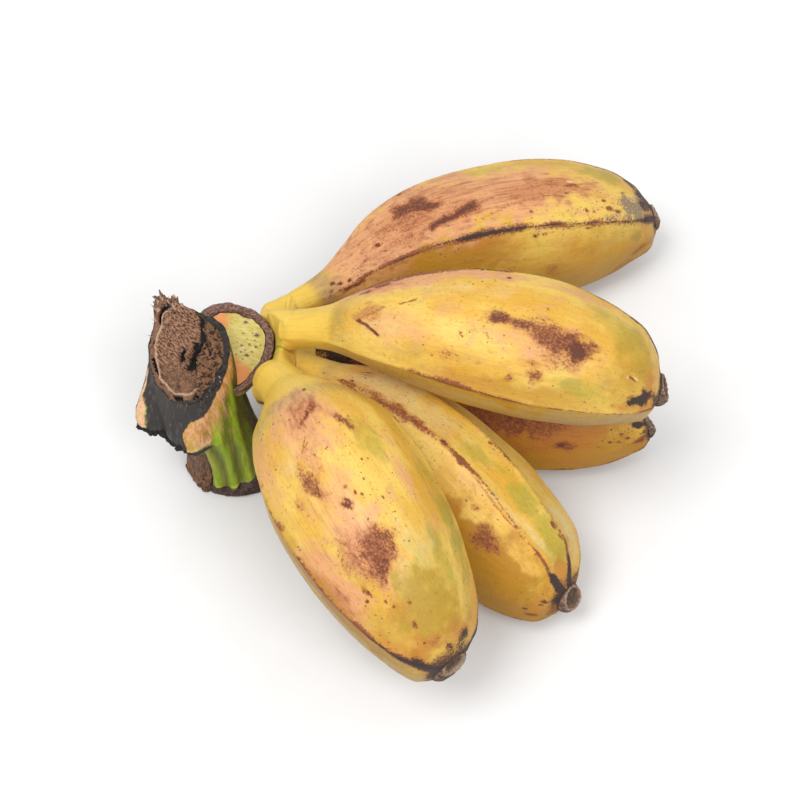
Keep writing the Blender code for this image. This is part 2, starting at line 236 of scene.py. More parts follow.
class Look:
    # A material whose nodes are added by short calls, each giving back the socket it makes. Its values hold:
    # shader, sockets with their fixed values; depth, how far its relief reaches, in millimetres;
    # grains, its noises, as (attribute, stretch, scale, detail, roughness, distortion);
    # blends, as (paint, paint, grain, from, to, strength), one paint turning into the other along the grain;
    # veils, as (paint, grain, from, to, strength), a paint laid on where the grain is high;
    # coats, as (paint, grain, shake, from, to, strength), a paint laid on where a mask, shaken by the
    # grain, is.
    def __init__(self, name, values):
        self.material = bpy.data.materials.new(name)
        self.material.use_nodes = True
        self.tree = self.material.node_tree
        self.shader = self.tree.nodes["Principled BSDF"]
        self.values, self.edges = values, {}
        for socket, value in values.get("shader", {}).items():
            self.shader.inputs[socket].default_value = value
        self.grain = {grain: self.noise(self.vector(layer, stretch), *kind)
                      for grain, (layer, stretch, *kind) in values.get("grains", {}).items()}

    def add(self, kind, inputs, **settings):
        made = self.tree.nodes.new("ShaderNode" + kind)
        for name, value in settings.items():
            setattr(made, name, value)
        for name, value in inputs.items():
            self.join(value, made.inputs[name])
        return made

    def join(self, value, socket):
        if isinstance(value, bpy.types.NodeSocket):
            self.tree.links.new(value, socket)
        else:
            socket.default_value = value

    def vector(self, name, stretch=(1, 1, 1)):
        layer = self.add("Attribute", {}, attribute_name=name)
        return self.add("VectorMath", {0: layer.outputs["Vector"], 1: stretch}, operation="MULTIPLY").outputs[0]

    def masks(self, name):
        # the four channels of a colour attribute
        layer = self.add("Attribute", {}, attribute_name=name)
        split = self.add("SeparateColor", {0: layer.outputs["Color"]})
        return [*split.outputs[:3], layer.outputs["Alpha"]]

    def noise(self, vector, scale, detail=3.0, roughness=0.55, distortion=0.0):
        kind = {"Scale": scale, "Detail": detail, "Roughness": roughness, "Distortion": distortion}
        return self.add("TexNoise", {"Vector": vector} | kind).outputs[0]

    def span(self, value, low, high, start=0.0, end=1.0):
        # start below low, end above high, smooth between them
        limits = {"From Min": low, "From Max": high, "To Min": start, "To Max": end}
        return self.add("MapRange", {"Value": value} | limits, interpolation_type="SMOOTHSTEP").outputs[0]

    def math(self, operation, *values):
        return self.add("Math", dict(enumerate(values)), operation=operation).outputs[0]

    def times(self, first, second):
        return self.math("MULTIPLY", first, second)

    def most(self, first, second):
        return self.math("MAXIMUM", first, second)

    def total(self, *parts):
        # the sum of each socket times its weight
        weighted = [self.times(socket, weight) for socket, weight in parts]
        result = weighted[0]
        for part in weighted[1:]:
            result = self.math("ADD", result, part)
        return result

    def mix(self, share, first, second):
        return self.add("Mix", {0: share, 6: first, 7: second}, data_type="RGBA").outputs[2]

    def blend(self, name):
        first, second, grain, low, high, strength = self.values["blends"][name]
        share = self.span(self.grain[grain], low, high, 0.0, strength)
        return self.mix(share, self.values[first], self.values[second])

    def veil(self, colour, name, where=None):
        paintName, grain, low, high, strength = self.values["veils"][name]
        share = self.span(self.grain[grain], low, high, 0.0, strength)
        share = share if where is None else self.times(share, where)
        return self.mix(share, colour, self.values[paintName])

    def coat(self, colour, name, mask, ownPaint=None):
        # shaken = mask + shake * (grain - 1/2), and the coat sets in between from and to
        paintName, grain, shake, low, high, strength = self.values["coats"][name]
        shaken = self.math("MULTIPLY_ADD", self.grain[grain], shake, mask)
        self.edges[name] = self.span(self.math("SUBTRACT", shaken, shake / 2), low, high)
        laid = self.values[paintName] if ownPaint is None else ownPaint
        return self.mix(self.times(self.edges[name], strength), colour, laid)

    def dots(self, vector, scale, size, crowd):
        # round dots of mixed size, one in each lattice cell whose own random number is under crowd
        cells = self.add("TexVoronoi", {"Vector": vector, "Scale": scale})
        own = self.add("SeparateColor", {0: cells.outputs["Color"]})
        reach = self.math("MULTIPLY_ADD", own.outputs[1], size * 0.8, size * 0.35)
        toEdge = self.math("SUBTRACT", reach, cells.outputs["Distance"])
        chosen = self.math("LESS_THAN", own.outputs[0], crowd)
        return self.times(self.span(toEdge, -size * 0.2, size * 0.2), chosen)

    def finish(self, colour, roughness, height):
        self.join(colour, self.shader.inputs["Base Color"])
        self.join(roughness, self.shader.inputs["Roughness"])
        raised = self.add("Bump", {"Height": height, "Distance": self.values["depth"] * mm, "Strength": 1.0})
        self.join(raised.outputs[0], self.shader.inputs["Normal"])
        return self.material


# Peel
# Its dots are (scale, size, share of the crowd, strength), and they wander by `dotWander` of the grain.

everyWay, alongFinger = (1, 1, 1), "straight"

peel = dict(
    deep=paint(233, 179, 60), pale=paint(245, 206, 96), shadedGold=paint(192, 136, 4), rose=paint(238, 174, 118),
    tan=paint(206, 132, 84), green=paint(168, 162, 38), cream=paint(240, 214, 140),
    stalk=paint(250, 208, 84), neck=paint(166, 154, 96), wear=paint(140, 74, 40),
    bruise=paint(190, 104, 54), darkBruise=paint(96, 46, 28), black=paint(44, 32, 30),
    blueBlack=paint(106, 98, 102), speck=paint(96, 46, 28), halo=paint(206, 122, 40),
    freckle=paint(190, 112, 52), streak=paint(140, 76, 44),
    shader={"Subsurface Weight": 0.1, "Subsurface Radius": (1.0, 0.55, 0.15), "Subsurface Scale": 0.0025},
    depth=0.22, roughness=(0.45, 0.66),
    grains=dict(
        fibres=(alongFinger, (1, 1, 0.05), 1.5, 4.0, 0.6),
        streaks=(alongFinger, (1, 1, 0.1), 0.7, 4.0, 0.65),
        clouds=(alongFinger, (1, 1, 0.6), 0.07, 4.0, 0.6),
        mottle=(alongFinger, (1, 1, 0.75), 0.2, 5.0, 0.62, 0.5),
        patches=(alongFinger, (1, 1, 0.7), 0.11, 5.0, 0.6, 0.6),
        grain=(alongFinger, everyWay, 0.8, 6.0, 0.75), fine=(alongFinger, everyWay, 2.4, 3.0, 0.65),
        freckles=(alongFinger, everyWay, 0.9, 4.0, 0.7), speckle=(alongFinger, everyWay, 1.25, 4.0, 0.75)),
    blends=dict(skin=("deep", "pale", "clouds", 0.36, 0.62, 1.0)),
    veils=dict(
        rosy=("rose", "mottle", 0.52, 0.68, 0.45), greenish=("green", "patches", 0.56, 0.72, 0.4),
        browned=("streak", "streaks", 0.5, 0.66, 0.6), rusty=("wear", "grain", 0.5, 0.68, 0.6),
        fibrous=("wear", "fibres", 0.4, 0.7, 0.12), freckled=("freckle", "freckles", 0.58, 0.68, 0.6)),
    coats=dict(
        rose=("rose", "patches", 1.0, 0.1, 0.9, 1.0), green=("green", "mottle", 1.6, 0.1, 1.2, 0.7),
        tan=("tan", "streaks", 1.3, 0.15, 0.85, 0.75), cream=("cream", "mottle", 1.4, 0.1, 1.0, 0.85),
        neck=("neck", "streaks", 0.9, 0.15, 1.0, 1.0), halo=("halo", "mottle", 1.3, 0.1, 1.0, 0.6),
        bruiseEdge=("bruise", "grain", 1.4, 0.0, 1.0, 0.55),
        bruiseGrain=("wear", "speckle", 2.8, 0.42, 0.95, 0.85),
        bruiseCore=("darkBruise", "speckle", 2.2, 0.85, 1.35, 0.92),
        wearEdge=("bruise", "grain", 2.2, 0.4, 1.2, 0.6),
        wearSpots=("wear", "speckle", 2.4, 0.55, 0.95, 0.85),
        grey=("blueBlack", "speckle", 3.0, 0.35, 1.1, 0.8),
        blackRim=("wear", "speckle", 2.2, 0.15, 0.75, 0.75),
        blackEdge=("black", "speckle", 2.0, 0.42, 0.9, 0.95), scuffAndHighlight=("cream", "fine", 0.9, 0.3, 0.9, 0.8)),
    dots=((0.4, 0.17, 0.55, 0.8), (1.0, 0.26, 1.0, 0.7)), dotWander=1.2, dotCrowd=(0.6, 0.05),
    dotPatches=(0.44, 0.6, 0.1, 1.5))


def makePeel():
    look = Look("peel", peel)
    grain, edges = look.grain, look.edges
    bruise, black, wear, tan = look.masks("paintOne")
    green, cream, specks, neck = look.masks("paintTwo")
    stalk, grey, halo, scuffAndHighlight = look.masks("paintThree")
    shadedGold, rose, _, _ = look.masks("paintFour")
    calm = look.span(stalk, 0.0, 1.0, 1.0, 0.0)   # 0 on the finger's own stalk, which has no marks

    colour = look.blend("skin")
    colour = look.veil(colour, "rosy", calm)
    colour = look.veil(colour, "greenish", calm)
    colour = look.coat(colour, "rose", rose)
    colour = look.coat(colour, "green", green)
    colour = look.coat(colour, "tan", tan)
    colour = look.veil(colour, "browned", look.span(look.most(tan, look.times(rose, 0.5)), 0.1, 0.8))
    colour = look.veil(colour, "rusty", look.span(tan, 0.1, 0.8))
    colour = look.coat(colour, "cream", cream)
    colour = look.mix(look.span(stalk, 0.1, 0.9), colour, peel["stalk"])
    # painted shade: deep gold laid on where the shaded-gold mask is
    colour = look.mix(look.span(shadedGold, 0.0, 0.8, 0.0, 0.9), colour, peel["shadedGold"])
    colour = look.coat(colour, "neck", neck)
    colour = look.coat(colour, "halo", halo)
    colour = look.veil(colour, "fibrous")
    colour = look.veil(colour, "freckled", calm)

    crowd = look.math("MULTIPLY_ADD", specks, *peel["dotCrowd"])
    crowd = look.times(crowd, look.span(grain["patches"], *peel["dotPatches"]))
    shaken = look.times(grain["grain"], peel["dotWander"])
    wandering = look.add("VectorMath", {0: look.vector("straight"), 1: shaken}, operation="ADD").outputs[0]
    bigDots, smallDots = (look.times(look.dots(wandering, scale, size, look.times(crowd, share)), strength)
                          for scale, size, share, strength in peel["dots"])
    dots = look.times(look.most(bigDots, smallDots), calm)
    colour = look.mix(dots, colour, peel["speck"])

    # scuffAndHighlight lays cream on pale scuffs, which are partly painted highlights
    for name, mask in (("bruiseEdge", bruise), ("bruiseGrain", bruise), ("bruiseCore", bruise), ("wearEdge", wear),
                       ("wearSpots", wear), ("grey", grey), ("blackRim", black), ("blackEdge", black),
                       ("scuffAndHighlight", scuffAndHighlight)):
        colour = look.coat(colour, name, mask)

    marked = look.most(look.most(edges["bruiseEdge"], edges["wearEdge"]), edges["blackRim"])
    roughness = look.span(look.total((marked, 1.0), (grain["fine"], 0.4)), 0.0, 1.4, *peel["roughness"])
    height = look.total((grain["fibres"], 0.5), (grain["grain"], 0.35),
                        (look.most(dots, edges["bruiseCore"]), -0.4), (look.times(marked, grain["fine"]), 0.9))
    return look.finish(colour, roughness, height)


peelMaterial = makePeel()

# The five fingers
# A finger: `curve` is its middle line, `girth` half its thickness at the shares in girthAt, `wide` its
# sideways
# stretch and `stub` the length and radius of its dried end. `slant` is how far its end leans back and
# `facing`
# how far the dried face looks up. `neck` is the share and strength of the dull collar where its own stalk
# ends, and `shadedGold` how strongly painted shade, a deep gold, lies on its underside and its low parts.
# A ridge is one angle, or (share, angle) pairs where it wanders;
# 90 degrees is the top, 180 the side by the camera. A spot is (share, angle, half length, half width, turn,
# strength), a stroke is (width, strength, ((share, angle), ...)) and a line along a ridge is
# (ridge number, ((share, half width, strength), ...)). `shadedGolds` are spots of the same painted shade.
# (ridge number, ((share, half width, strength), ...)).

girthAt = (0.0, 0.08, 0.15, 0.22, 0.30, 0.40, 0.52, 0.65, 0.77, 0.87, 0.93)

backBanana = dict(
    curve=((-40.5, 24.5, 38), (-7, 48.5, 32), (-5, 67.5, 29.2), (90.7, 88.7, 15.8)),
    girth=(4.4, 5.0, 6.6, 10.6, 16.4, 20.8, 23.4, 24.2, 22.4, 18.2, 13.6), wide=1.0, stub=(2.8, 4.8),
    facing=0.7, slant=0.3, neck=(0.095, 0.6),
    ridges=(
        44, ((0.1, 152), (0.17, 142), (0.24, 133), (0.4, 130.5), (0.6, 131), (0.75, 133.5), (0.95, 137)),
        213, 282),
    wear=(
        (0, (
            (0.2, 1.0, 0.3), (0.36, 1.2, 0.7), (0.5, 1.0, 0.4), (0.58, 1.2, 0.7), (0.84, 2.4, 1.0),
            (0.98, 3.6, 1.2))),
        (1, (
            (0.12, 1.2, 0.8), (0.3, 1.2, 1.0), (0.44, 2.8, 1.1), (0.56, 3.0, 1.1), (0.64, 2.2, 1.0),
            (0.8, 2.8, 1.0), (0.95, 3, 1.2))),
        (2, ((0.3, 0.8, 0.3), (0.9, 1.4, 0.8), (0.97, 2.2, 1.0))), (3, ((0.3, 0.8, 0.3), (0.9, 1.2, 0.6)))),
    blackLines=(
        (0, ((0.82, 1.0, 0.0), (0.87, 2.0, 0.9), (0.97, 3.4, 1.2))),
        (1, (
            (0.14, 0.3, 0.2), (0.3, 0.35, 0.8), (0.41, 0.5, 0.9), (0.44, 1.2, 1.15), (0.50, 1.25, 1.2),
            (0.57, 1.1, 1.1), (0.62, 0.6, 1.0), (0.72, 0.45, 0.9), (0.85, 0.6, 0.9), (0.93, 1.2, 1.0),
            (0.97, 2.0, 1.1)))),
    bruises=(
        (0.375, 76, 8, 5, 0, 1.1), (0.40, 84, 6.4, 3.6, 12, 1.15), (0.36, 94, 9, 6, 0, 0.6),
        (0.33, 110, 8, 5, 0, 0.5), (0.30, 88, 5, 3, 0, 0.5), (0.25, 118, 6, 3, 0, 0.4),
        (0.265, 98, 1.5, 0.9, 50, 1.3), (0.385, 47, 1.2, 0.8, 0, 1.0), (0.49, 42, 1.2, 0.8, 0, 1.0),
        (0.60, 43, 2.4, 0.7, 0, 0.9), (0.14, 118, 1.2, 0.9, 0, 1.2), (0.155, 128, 1.0, 0.8, 0, 1.2),
        (0.13, 136, 0.9, 0.8, 0, 1.1), (0.175, 132, 1.0, 0.8, 0, 1.2), (0.75, 93, 3.4, 1.5, 0, 0.9),
        (0.70, 90, 6, 1.4, 0, 0.55), (0.64, 93, 6, 1.0, 0, 0.5), (0.58, 108, 8, 0.9, 0, 0.5),
        (0.625, 118, 0.9, 0.8, 0, 1.2), (0.73, 103, 1.0, 0.8, 0, 1.2), (0.765, 122, 0.9, 0.8, 0, 1.2),
        (0.785, 123, 0.8, 0.7, 0, 1.1), (0.82, 112, 1.0, 0.8, 0, 1.2), (0.83, 121, 1.8, 1.2, 0, 1.0),
        (0.85, 124, 1.4, 1.0, 0, 1.0), (0.88, 98, 1.0, 0.7, 0, 1.1), (0.625, 139, 1.2, 0.8, 0, 1.1),
        (0.65, 139, 0.9, 0.7, 0, 1.1), (0.765, 138, 2.2, 0.6, 0, 1.1), (0.68, 178, 5, 4, 0, 0.5),
        (0.56, 170, 7, 3, 0, 0.4), (0.89, 205, 6, 3, 0, 0.5), (0.93, 190, 5, 2, 0, 0.6)),
    blacks=((0.95, 110, 4, 3, 0, 0.9), (0.93, 60, 3, 4, 0, 0.8), (0.96, 80, 4, 6, 0, 0.9)),
    strokes=(
        (1.8, 1.3, ((0.385, 112), (0.42, 108), (0.455, 106), (0.50, 102))),
        (2.6, 1.3, ((0.46, 105), (0.495, 102.5))), (1.2, 1.25, ((0.383, 112), (0.40, 110.5))),
        (1.0, 0.6, ((0.50, 102), (0.55, 98))), (0.5, 0.7, ((0.50, 118), (0.6, 107), (0.7, 104))),
        (0.5, 0.6, ((0.42, 60), (0.52, 62))), (0.4, 0.6, ((0.56, 80), (0.74, 84))),
        (1.0, 1.1, ((0.16, 152), (0.2, 143)))),
    tans=(
        (0.38, 90, 34, 16, 0, 0.6), (0.68, 94, 22, 8, 0, 0.9), (0.78, 100, 12, 7, 0, 0.4),
        (0.56, 78, 16, 6, 0, 0.35)),
    roses=(
        (0.36, 86, 46, 22, 0, 1.1), (0.6, 90, 26, 16, 0, 0.9), (0.76, 100, 20, 10, 0, 0.4),
        (0.45, 150, 20, 5, 0, 0.5)),
    greens=(
        (0.57, 54, 10, 4, 0, 0.7), (0.72, 56, 18, 3, 0, 0.5), (0.84, 70, 10, 6, 0, 0.9),
        (0.91, 160, 3, 3, 0, 1.2), (0.115, 80, 6, 10, 0, 0.3)),
    creams=(),
    greys=(
        (0.9, 116, 9, 7, 0, 1.1), (0.95, 100, 6, 6, 0, 1.0), (0.96, 135, 4, 4, 0, 0.9),
        (0.83, 130, 7, 2, 0, 0.7)),
    specks=(
        (0.77, 112, 24, 12, 0, 1.0), (0.34, 100, 24, 16, 0, 1.0), (0.2, 110, 12, 10, 0, 1.0),
        (0.68, 138, 14, 2.4, 0, 1.0)),
    halos=((0.93, 150, 6, 5, 0, 0.4), (0.5, 139, 12, 2.4, 0, 0.8)),
    scuffsAndHighlights=((0.75, 88, 1.5, 0.8, 0, 1.2), (0.9, 108, 3, 0.4, 20, 0.9)), shadedGold=0.55,
    shadedGolds=((0.42, 150, 30, 9, 0, 0.7), (0.8, 170, 20, 12, 0, 0.4)))

topBanana = dict(
    curve=((-38, 10.5, 47), (-5, -6, 69.5), (26.5, -11, 74.5), (82, -13.6, 45.6)),
    girth=(6.4, 6.2, 7.0, 9.9, 14.2, 17.9, 20.8, 22.0, 20.2, 16.4, 12.3), wide=1.03, stub=(5.0, 5.2),
    facing=1.0, slant=0.3, neck=(0.19, 0.35),
    ridges=(
        ((0.2, 46), (0.75, 46), (0.9, 56), (0.98, 66)),
        ((0.2, 166), (0.4, 170), (0.6, 175), (0.82, 170), (0.95, 163)), 240, 325),
    wear=(
        (0, (
            (0.2, 2.0, 0.6), (0.27, 3.8, 1.2), (0.34, 3.4, 1.1), (0.45, 2.4, 1.1), (0.6, 1.4, 0.6),
            (0.72, 1.4, 0.8), (0.85, 2.4, 1.1), (0.97, 3, 1.2))),
        (1, (
            (0.36, 0.8, 0.4), (0.42, 2.4, 0.8), (0.47, 2.2, 0.9), (0.55, 0.9, 1.1), (0.60, 1.0, 1.2),
            (0.66, 0.6, 0.9), (0.9, 0.6, 0.9))),
        (2, ((0.3, 0.8, 0.3), (0.9, 1.2, 0.5))), (3, ((0.3, 0.8, 0.4), (0.9, 1.2, 0.6)))),
    blackLines=((0, (
        (0.485, 0.6, 0.0), (0.495, 1.1, 1.1), (0.56, 1.1, 1.1), (0.575, 0.5, 0.0), (0.8, 0.5, 0.3),
        (0.86, 1.3, 1.0), (0.96, 2.2, 1.1))),),
    bruises=(
        (0.555, 108, 5.0, 2.4, 0, 1.1), (0.60, 110, 6, 2.4, 8, 1.0), (0.65, 114, 7.4, 4.2, 8, 0.95),
        (0.70, 119, 7.2, 4.8, 6, 1.05), (0.71, 120, 4.2, 3.2, 0, 1.5), (0.73, 117, 3, 1.8, 0, 1.0),
        (0.63, 103, 6, 2.4, 0, 0.55), (0.68, 131, 6, 5, 0, 0.55), (0.47, 146, 2.8, 2.4, 0, 0.5),
        (0.59, 156, 1.5, 2.0, 0, 0.8), (0.64, 150, 2.6, 2.4, 0, 0.8), (0.63, 140, 2.0, 1.4, 0, 0.6),
        (0.275, 121, 1.2, 1.0, 0, 1.1), (0.45, 44, 2.6, 1.2, 0, 1.1), (0.56, 57, 0.8, 0.6, 0, 1.2),
        (0.64, 90, 0.5, 0.5, 0, 1.3), (0.745, 123, 0.6, 0.6, 0, 1.3), (0.30, 58, 3.4, 1.8, 0, 1.0),
        (0.265, 66, 2.4, 1.4, 0, 0.9), (0.335, 52, 2, 1, 0, 1.0), (0.355, 50, 0.9, 0.7, 0, 1.2),
        (0.5, 124, 3, 3, 0, 0.25), (0.3, 112, 4, 3, 0, 0.4), (0.85, 131, 1.8, 0.6, 10, 1.2)),
    blacks=((0.885, 152, 4.4, 2.2, -16, 1.15), (0.91, 144, 3.6, 2.8, 0, 1.0), (0.95, 150, 3, 3, 0, 0.8)),
    strokes=(
        (0.5, 1.4, ((0.275, 122), (0.295, 127), (0.325, 139))), (0.7, 0.7, ((0.275, 118), (0.33, 104))),
        (0.4, 1.2, ((0.362, 100), (0.372, 98))), (0.4, 1.2, ((0.378, 97), (0.39, 95))),
        (0.3, 1.0, ((0.485, 125), (0.492, 129))), (0.3, 0.8, ((0.535, 123), (0.54, 127))),
        (0.45, 1.0, ((0.34, 49), (0.38, 47)))),
    tans=((0.66, 120, 16, 9, 0, 0.35), (0.3, 108, 7, 4, -20, 0.5), (0.3, 60, 10, 4, 0, 0.5)),
    roses=(
        (0.32, 62, 18, 5, 0, 0.9), (0.5, 56, 16, 3, 0, 0.8), (0.36, 128, 12, 7, 0, 0.5),
        (0.66, 126, 16, 8, 0, 0.5), (0.7, 60, 14, 3, 0, 0.6), (0.5, 165, 14, 4, 0, 0.4)),
    greens=(
        (0.84, 92, 8, 12, 0, 0.9), (0.78, 80, 9, 6, 0, 0.6), (0.88, 112, 6, 7, 0, 0.8),
        (0.74, 154, 9, 4, 0, 0.9), (0.82, 140, 8, 6, 0, 0.5), (0.2, 120, 6, 9, 0, 0.6),
        (0.45, 150, 16, 6, 0, 0.35), (0.37, 100, 12, 3, 0, 0.3)),
    creams=(
        (0.62, 205, 44, 9, 0, 1.0), (0.46, 78, 16, 4, 0, 0.45), (0.9, 185, 12, 6, 0, 0.7),
        (0.33, 128, 7, 4, 0, 0.4)),
    greys=(),
    specks=(
        (0.29, 60, 14, 4, 0, 1.0), (0.64, 116, 16, 9, 0, 0.5), (0.82, 130, 10, 12, 0, 0.2),
        (0.7, 168, 20, 2, 0, 0.6)),
    halos=(
        (0.91, 124, 4, 4, 0, 0.9), (0.92, 150, 5, 6, 0, 0.7), (0.63, 144, 5, 4, 0, 0.4),
        (0.86, 160, 6, 2, 0, 0.6)),
    scuffsAndHighlights=((0.858, 130, 1.5, 0.45, 10, 1.4), (0.84, 131, 0.6, 0.8, 0, 1.0)), shadedGold=0.3,
    shadedGolds=((0.86, 130, 12, 18, 0, 0.35), (0.6, 168, 30, 5, 0, 0.5)))

# The under finger's first bruise and first black patch, near share 0.15 on its top side, are painted shadow in the
# gap under the top finger's stalk. Its large bruise, tan, speck and halo round share 0.65, angle 138, are partly
# brown speckle and partly painted shadow cast by the top finger lying over it.
underBanana = dict(
    curve=((-37, 18, 30), (5, 20, 17.2), (47, -12.5, 16.4), (82, 0.5, 12)),
    girth=(6.6, 6.2, 6.6, 9.0, 13.0, 16.2, 18.2, 17.7, 15.4, 12.0, 8.6), wide=1.0, stub=(3.4, 4.4),
    facing=0.8, slant=0.3, neck=(0.1, 0.5), ridges=(35, 120, 204, 275, 340),
    wear=(
        (0, ((0.3, 0.8, 0.4), (0.95, 1.4, 0.9))),
        (1, ((0.3, 0.8, 0.4), (0.85, 0.9, 0.6), (0.97, 1.6, 1.1))),
        (2, ((0.3, 0.8, 0.4), (0.9, 1.0, 0.9), (0.97, 1.8, 1.0))), (3, ((0.3, 0.8, 0.3), (0.95, 1.2, 0.6)))),
    blackLines=((1, ((0.9, 0.6, 0.0), (0.945, 1.2, 1.0), (0.99, 2.0, 1.0))),),
    bruises=(
        (0.17, 112, 15, 8, 0, 1.1), (0.765, 160, 4.6, 2.6, 0, 0.85), (0.755, 159, 1.6, 1.3, 0, 1.3),
        (0.62, 138, 18, 9, 0, 0.85), (0.7, 134, 9, 3, 0, 0.7), (0.865, 153, 0.7, 0.6, 0, 1.3),
        (0.89, 140, 0.8, 0.6, 0, 1.3), (0.885, 155, 0.7, 0.6, 0, 1.3), (0.91, 150, 1.4, 0.7, 0, 1.1),
        (0.845, 150, 0.6, 0.5, 0, 1.0), (0.95, 170, 3, 1.6, 0, 1.0), (0.68, 168, 7, 3, 0, 0.35)),
    blacks=((0.13, 112, 11, 6, 0, 0.9), (0.945, 121, 2.8, 1.2, 0, 1.2), (0.97, 148, 2.6, 2.0, 0, 0.7)),
    strokes=(), tans=((0.65, 140, 24, 10, 0, 0.6),), roses=((0.78, 190, 14, 4, 0, 0.4),),
    greens=((0.76, 203, 10, 3, 0, 0.6),), creams=(), greys=(),
    specks=((0.88, 150, 9, 6, 0, 0.9), (0.66, 140, 14, 8, 0, 0.8)), halos=((0.66, 134, 30, 16, 0, 1.1),),
    scuffsAndHighlights=(), shadedGold=0.9, shadedGolds=((0.6, 130, 40, 18, 0, 1.0), (0.75, 175, 24, 10, 0, 0.9)))

middleBanana = dict(
    curve=((-38.5, 9, 33), (3.5, -13, 35), (-13.5, -15, 37), (53.5, -67, 10)),
    girth=(6.4, 6.3, 7.3, 10.4, 15.0, 18.8, 21.2, 21.9, 20.1, 17.1, 12.9), wide=1.02, stub=(4.4, 4.8),
    facing=0.9, slant=0.3, neck=(0.13, 0.4),
    ridges=(
        32, ((0.3, 58), (0.55, 55), (0.66, 61), (0.74, 66), (0.84, 70), (0.96, 74)),
        ((0.15, 106), (0.3, 106), (0.4, 99), (0.52, 93), (0.62, 94), (0.72, 99), (0.84, 105), (0.95, 112)),
        203, 258, 322),
    wear=(
        (0, ((0.3, 0.8, 0.3), (0.8, 0.8, 0.4), (0.96, 1.4, 0.8))),
        (1, (
            (0.3, 0.8, 0.2), (0.56, 1.2, 0.5), (0.64, 1.4, 0.9), (0.72, 0.9, 0.5), (0.83, 1.2, 1.0),
            (0.93, 1.6, 1.1))),
        (2, (
            (0.15, 1.0, 0.6), (0.28, 1.7, 0.85), (0.4, 2.0, 0.9), (0.5, 1.6, 1.0), (0.58, 1.3, 1.1),
            (0.64, 0.8, 0.8), (0.72, 0.9, 0.75), (0.86, 0.8, 1.0), (0.95, 1.6, 1.2))),
        (3, ((0.3, 0.8, 0.3), (0.94, 1.4, 0.8))), (4, ((0.3, 0.8, 0.3), (0.95, 1.2, 0.6)))),
    blackLines=(
        (1, ((0.9, 0.4, 0.0), (0.94, 1.2, 1.1), (0.97, 1.8, 1.1))),
        (2, ((0.905, 0.4, 0.0), (0.925, 1.3, 1.1), (0.965, 2.2, 1.3)))),
    bruises=(
        (0.735, 128, 5.4, 4.8, 0, 0.85), (0.665, 113, 1.8, 1.3, 0, 0.6), (0.24, 100, 0.9, 0.8, 0, 1.3),
        (0.51, 93, 2.0, 1.2, 0, 1.2), (0.565, 93, 2.8, 1.3, 0, 1.4), (0.60, 94, 2.4, 0.8, 0, 1.1),
        (0.44, 95, 5, 1.8, 0, 0.8), (0.38, 99, 5, 2.2, 0, 0.8), (0.32, 102, 5, 2.4, 0, 0.6),
        (0.58, 57, 1.2, 0.8, 0, 1.0), (0.83, 72, 2.0, 0.8, 0, 1.2), (0.86, 74, 1.2, 0.7, 0, 1.0),
        (0.945, 152, 1.2, 0.9, 0, 1.3), (0.94, 160, 0.8, 0.6, 0, 1.1), (0.91, 175, 1.1, 0.7, 0, 1.1),
        (0.93, 185, 2.2, 1.0, 0, 1.0), (0.5, 66, 1.6, 0.6, 0, 0.6), (0.77, 102, 1.2, 0.7, 0, 1.1),
        (0.85, 106, 1.4, 0.7, 0, 1.1)),
    blacks=((0.945, 113, 2.6, 2.0, 0, 1.4), (0.955, 76, 2.4, 1.4, 0, 1.3)),
    strokes=(
        (0.35, 0.9, ((0.235, 74), (0.262, 69))), (0.3, 0.7, ((0.24, 78), (0.27, 77))),
        (0.35, 0.8, ((0.6, 95), (0.7, 101), (0.8, 105))), (0.5, 0.9, ((0.2, 108), (0.3, 112), (0.4, 106)))),
    tans=((0.36, 96, 16, 4, -6, 0.4), (0.5, 90, 10, 3, 0, 0.35)),
    roses=((0.3, 84, 20, 9, 0, 0.45), (0.45, 88, 14, 6, 0, 0.3), (0.6, 100, 12, 4, 0, 0.3)),
    greens=(
        (0.575, 76, 6, 4, 0, 0.9), (0.73, 78, 9, 5, 0, 1.0), (0.86, 82, 11, 5, 0, 1.2),
        (0.66, 72, 6, 3, 0, 0.6), (0.88, 146, 5, 3, 0, 0.9)),
    creams=(
        (0.78, 95, 17, 1.6, 0, 0.6), (0.86, 50, 14, 4, 0, 0.8), (0.36, 82, 20, 7, 0, 0.8),
        (0.5, 76, 14, 6, 0, 0.5), (0.62, 85, 8, 2, 0, 0.4)),
    greys=((0.62, 60, 6, 1.0, 0, 0.4), (0.84, 70, 5, 1.0, 0, 0.4)),
    specks=(
        (0.88, 165, 12, 8, 0, 0.7), (0.86, 104, 12, 3, 0, 0.8), (0.3, 80, 14, 8, 0, 0.3),
        (0.62, 60, 14, 3, 0, 0.6)),
    halos=((0.93, 92, 4, 4, 0, 1.0), (0.94, 160, 5, 6, 0, 0.6), (0.6, 150, 30, 14, 0, 0.3)), scuffsAndHighlights=(),
    shadedGold=0.75, shadedGolds=((0.72, 152, 30, 14, 0, 1.1), (0.5, 152, 26, 12, 0, 0.6)))

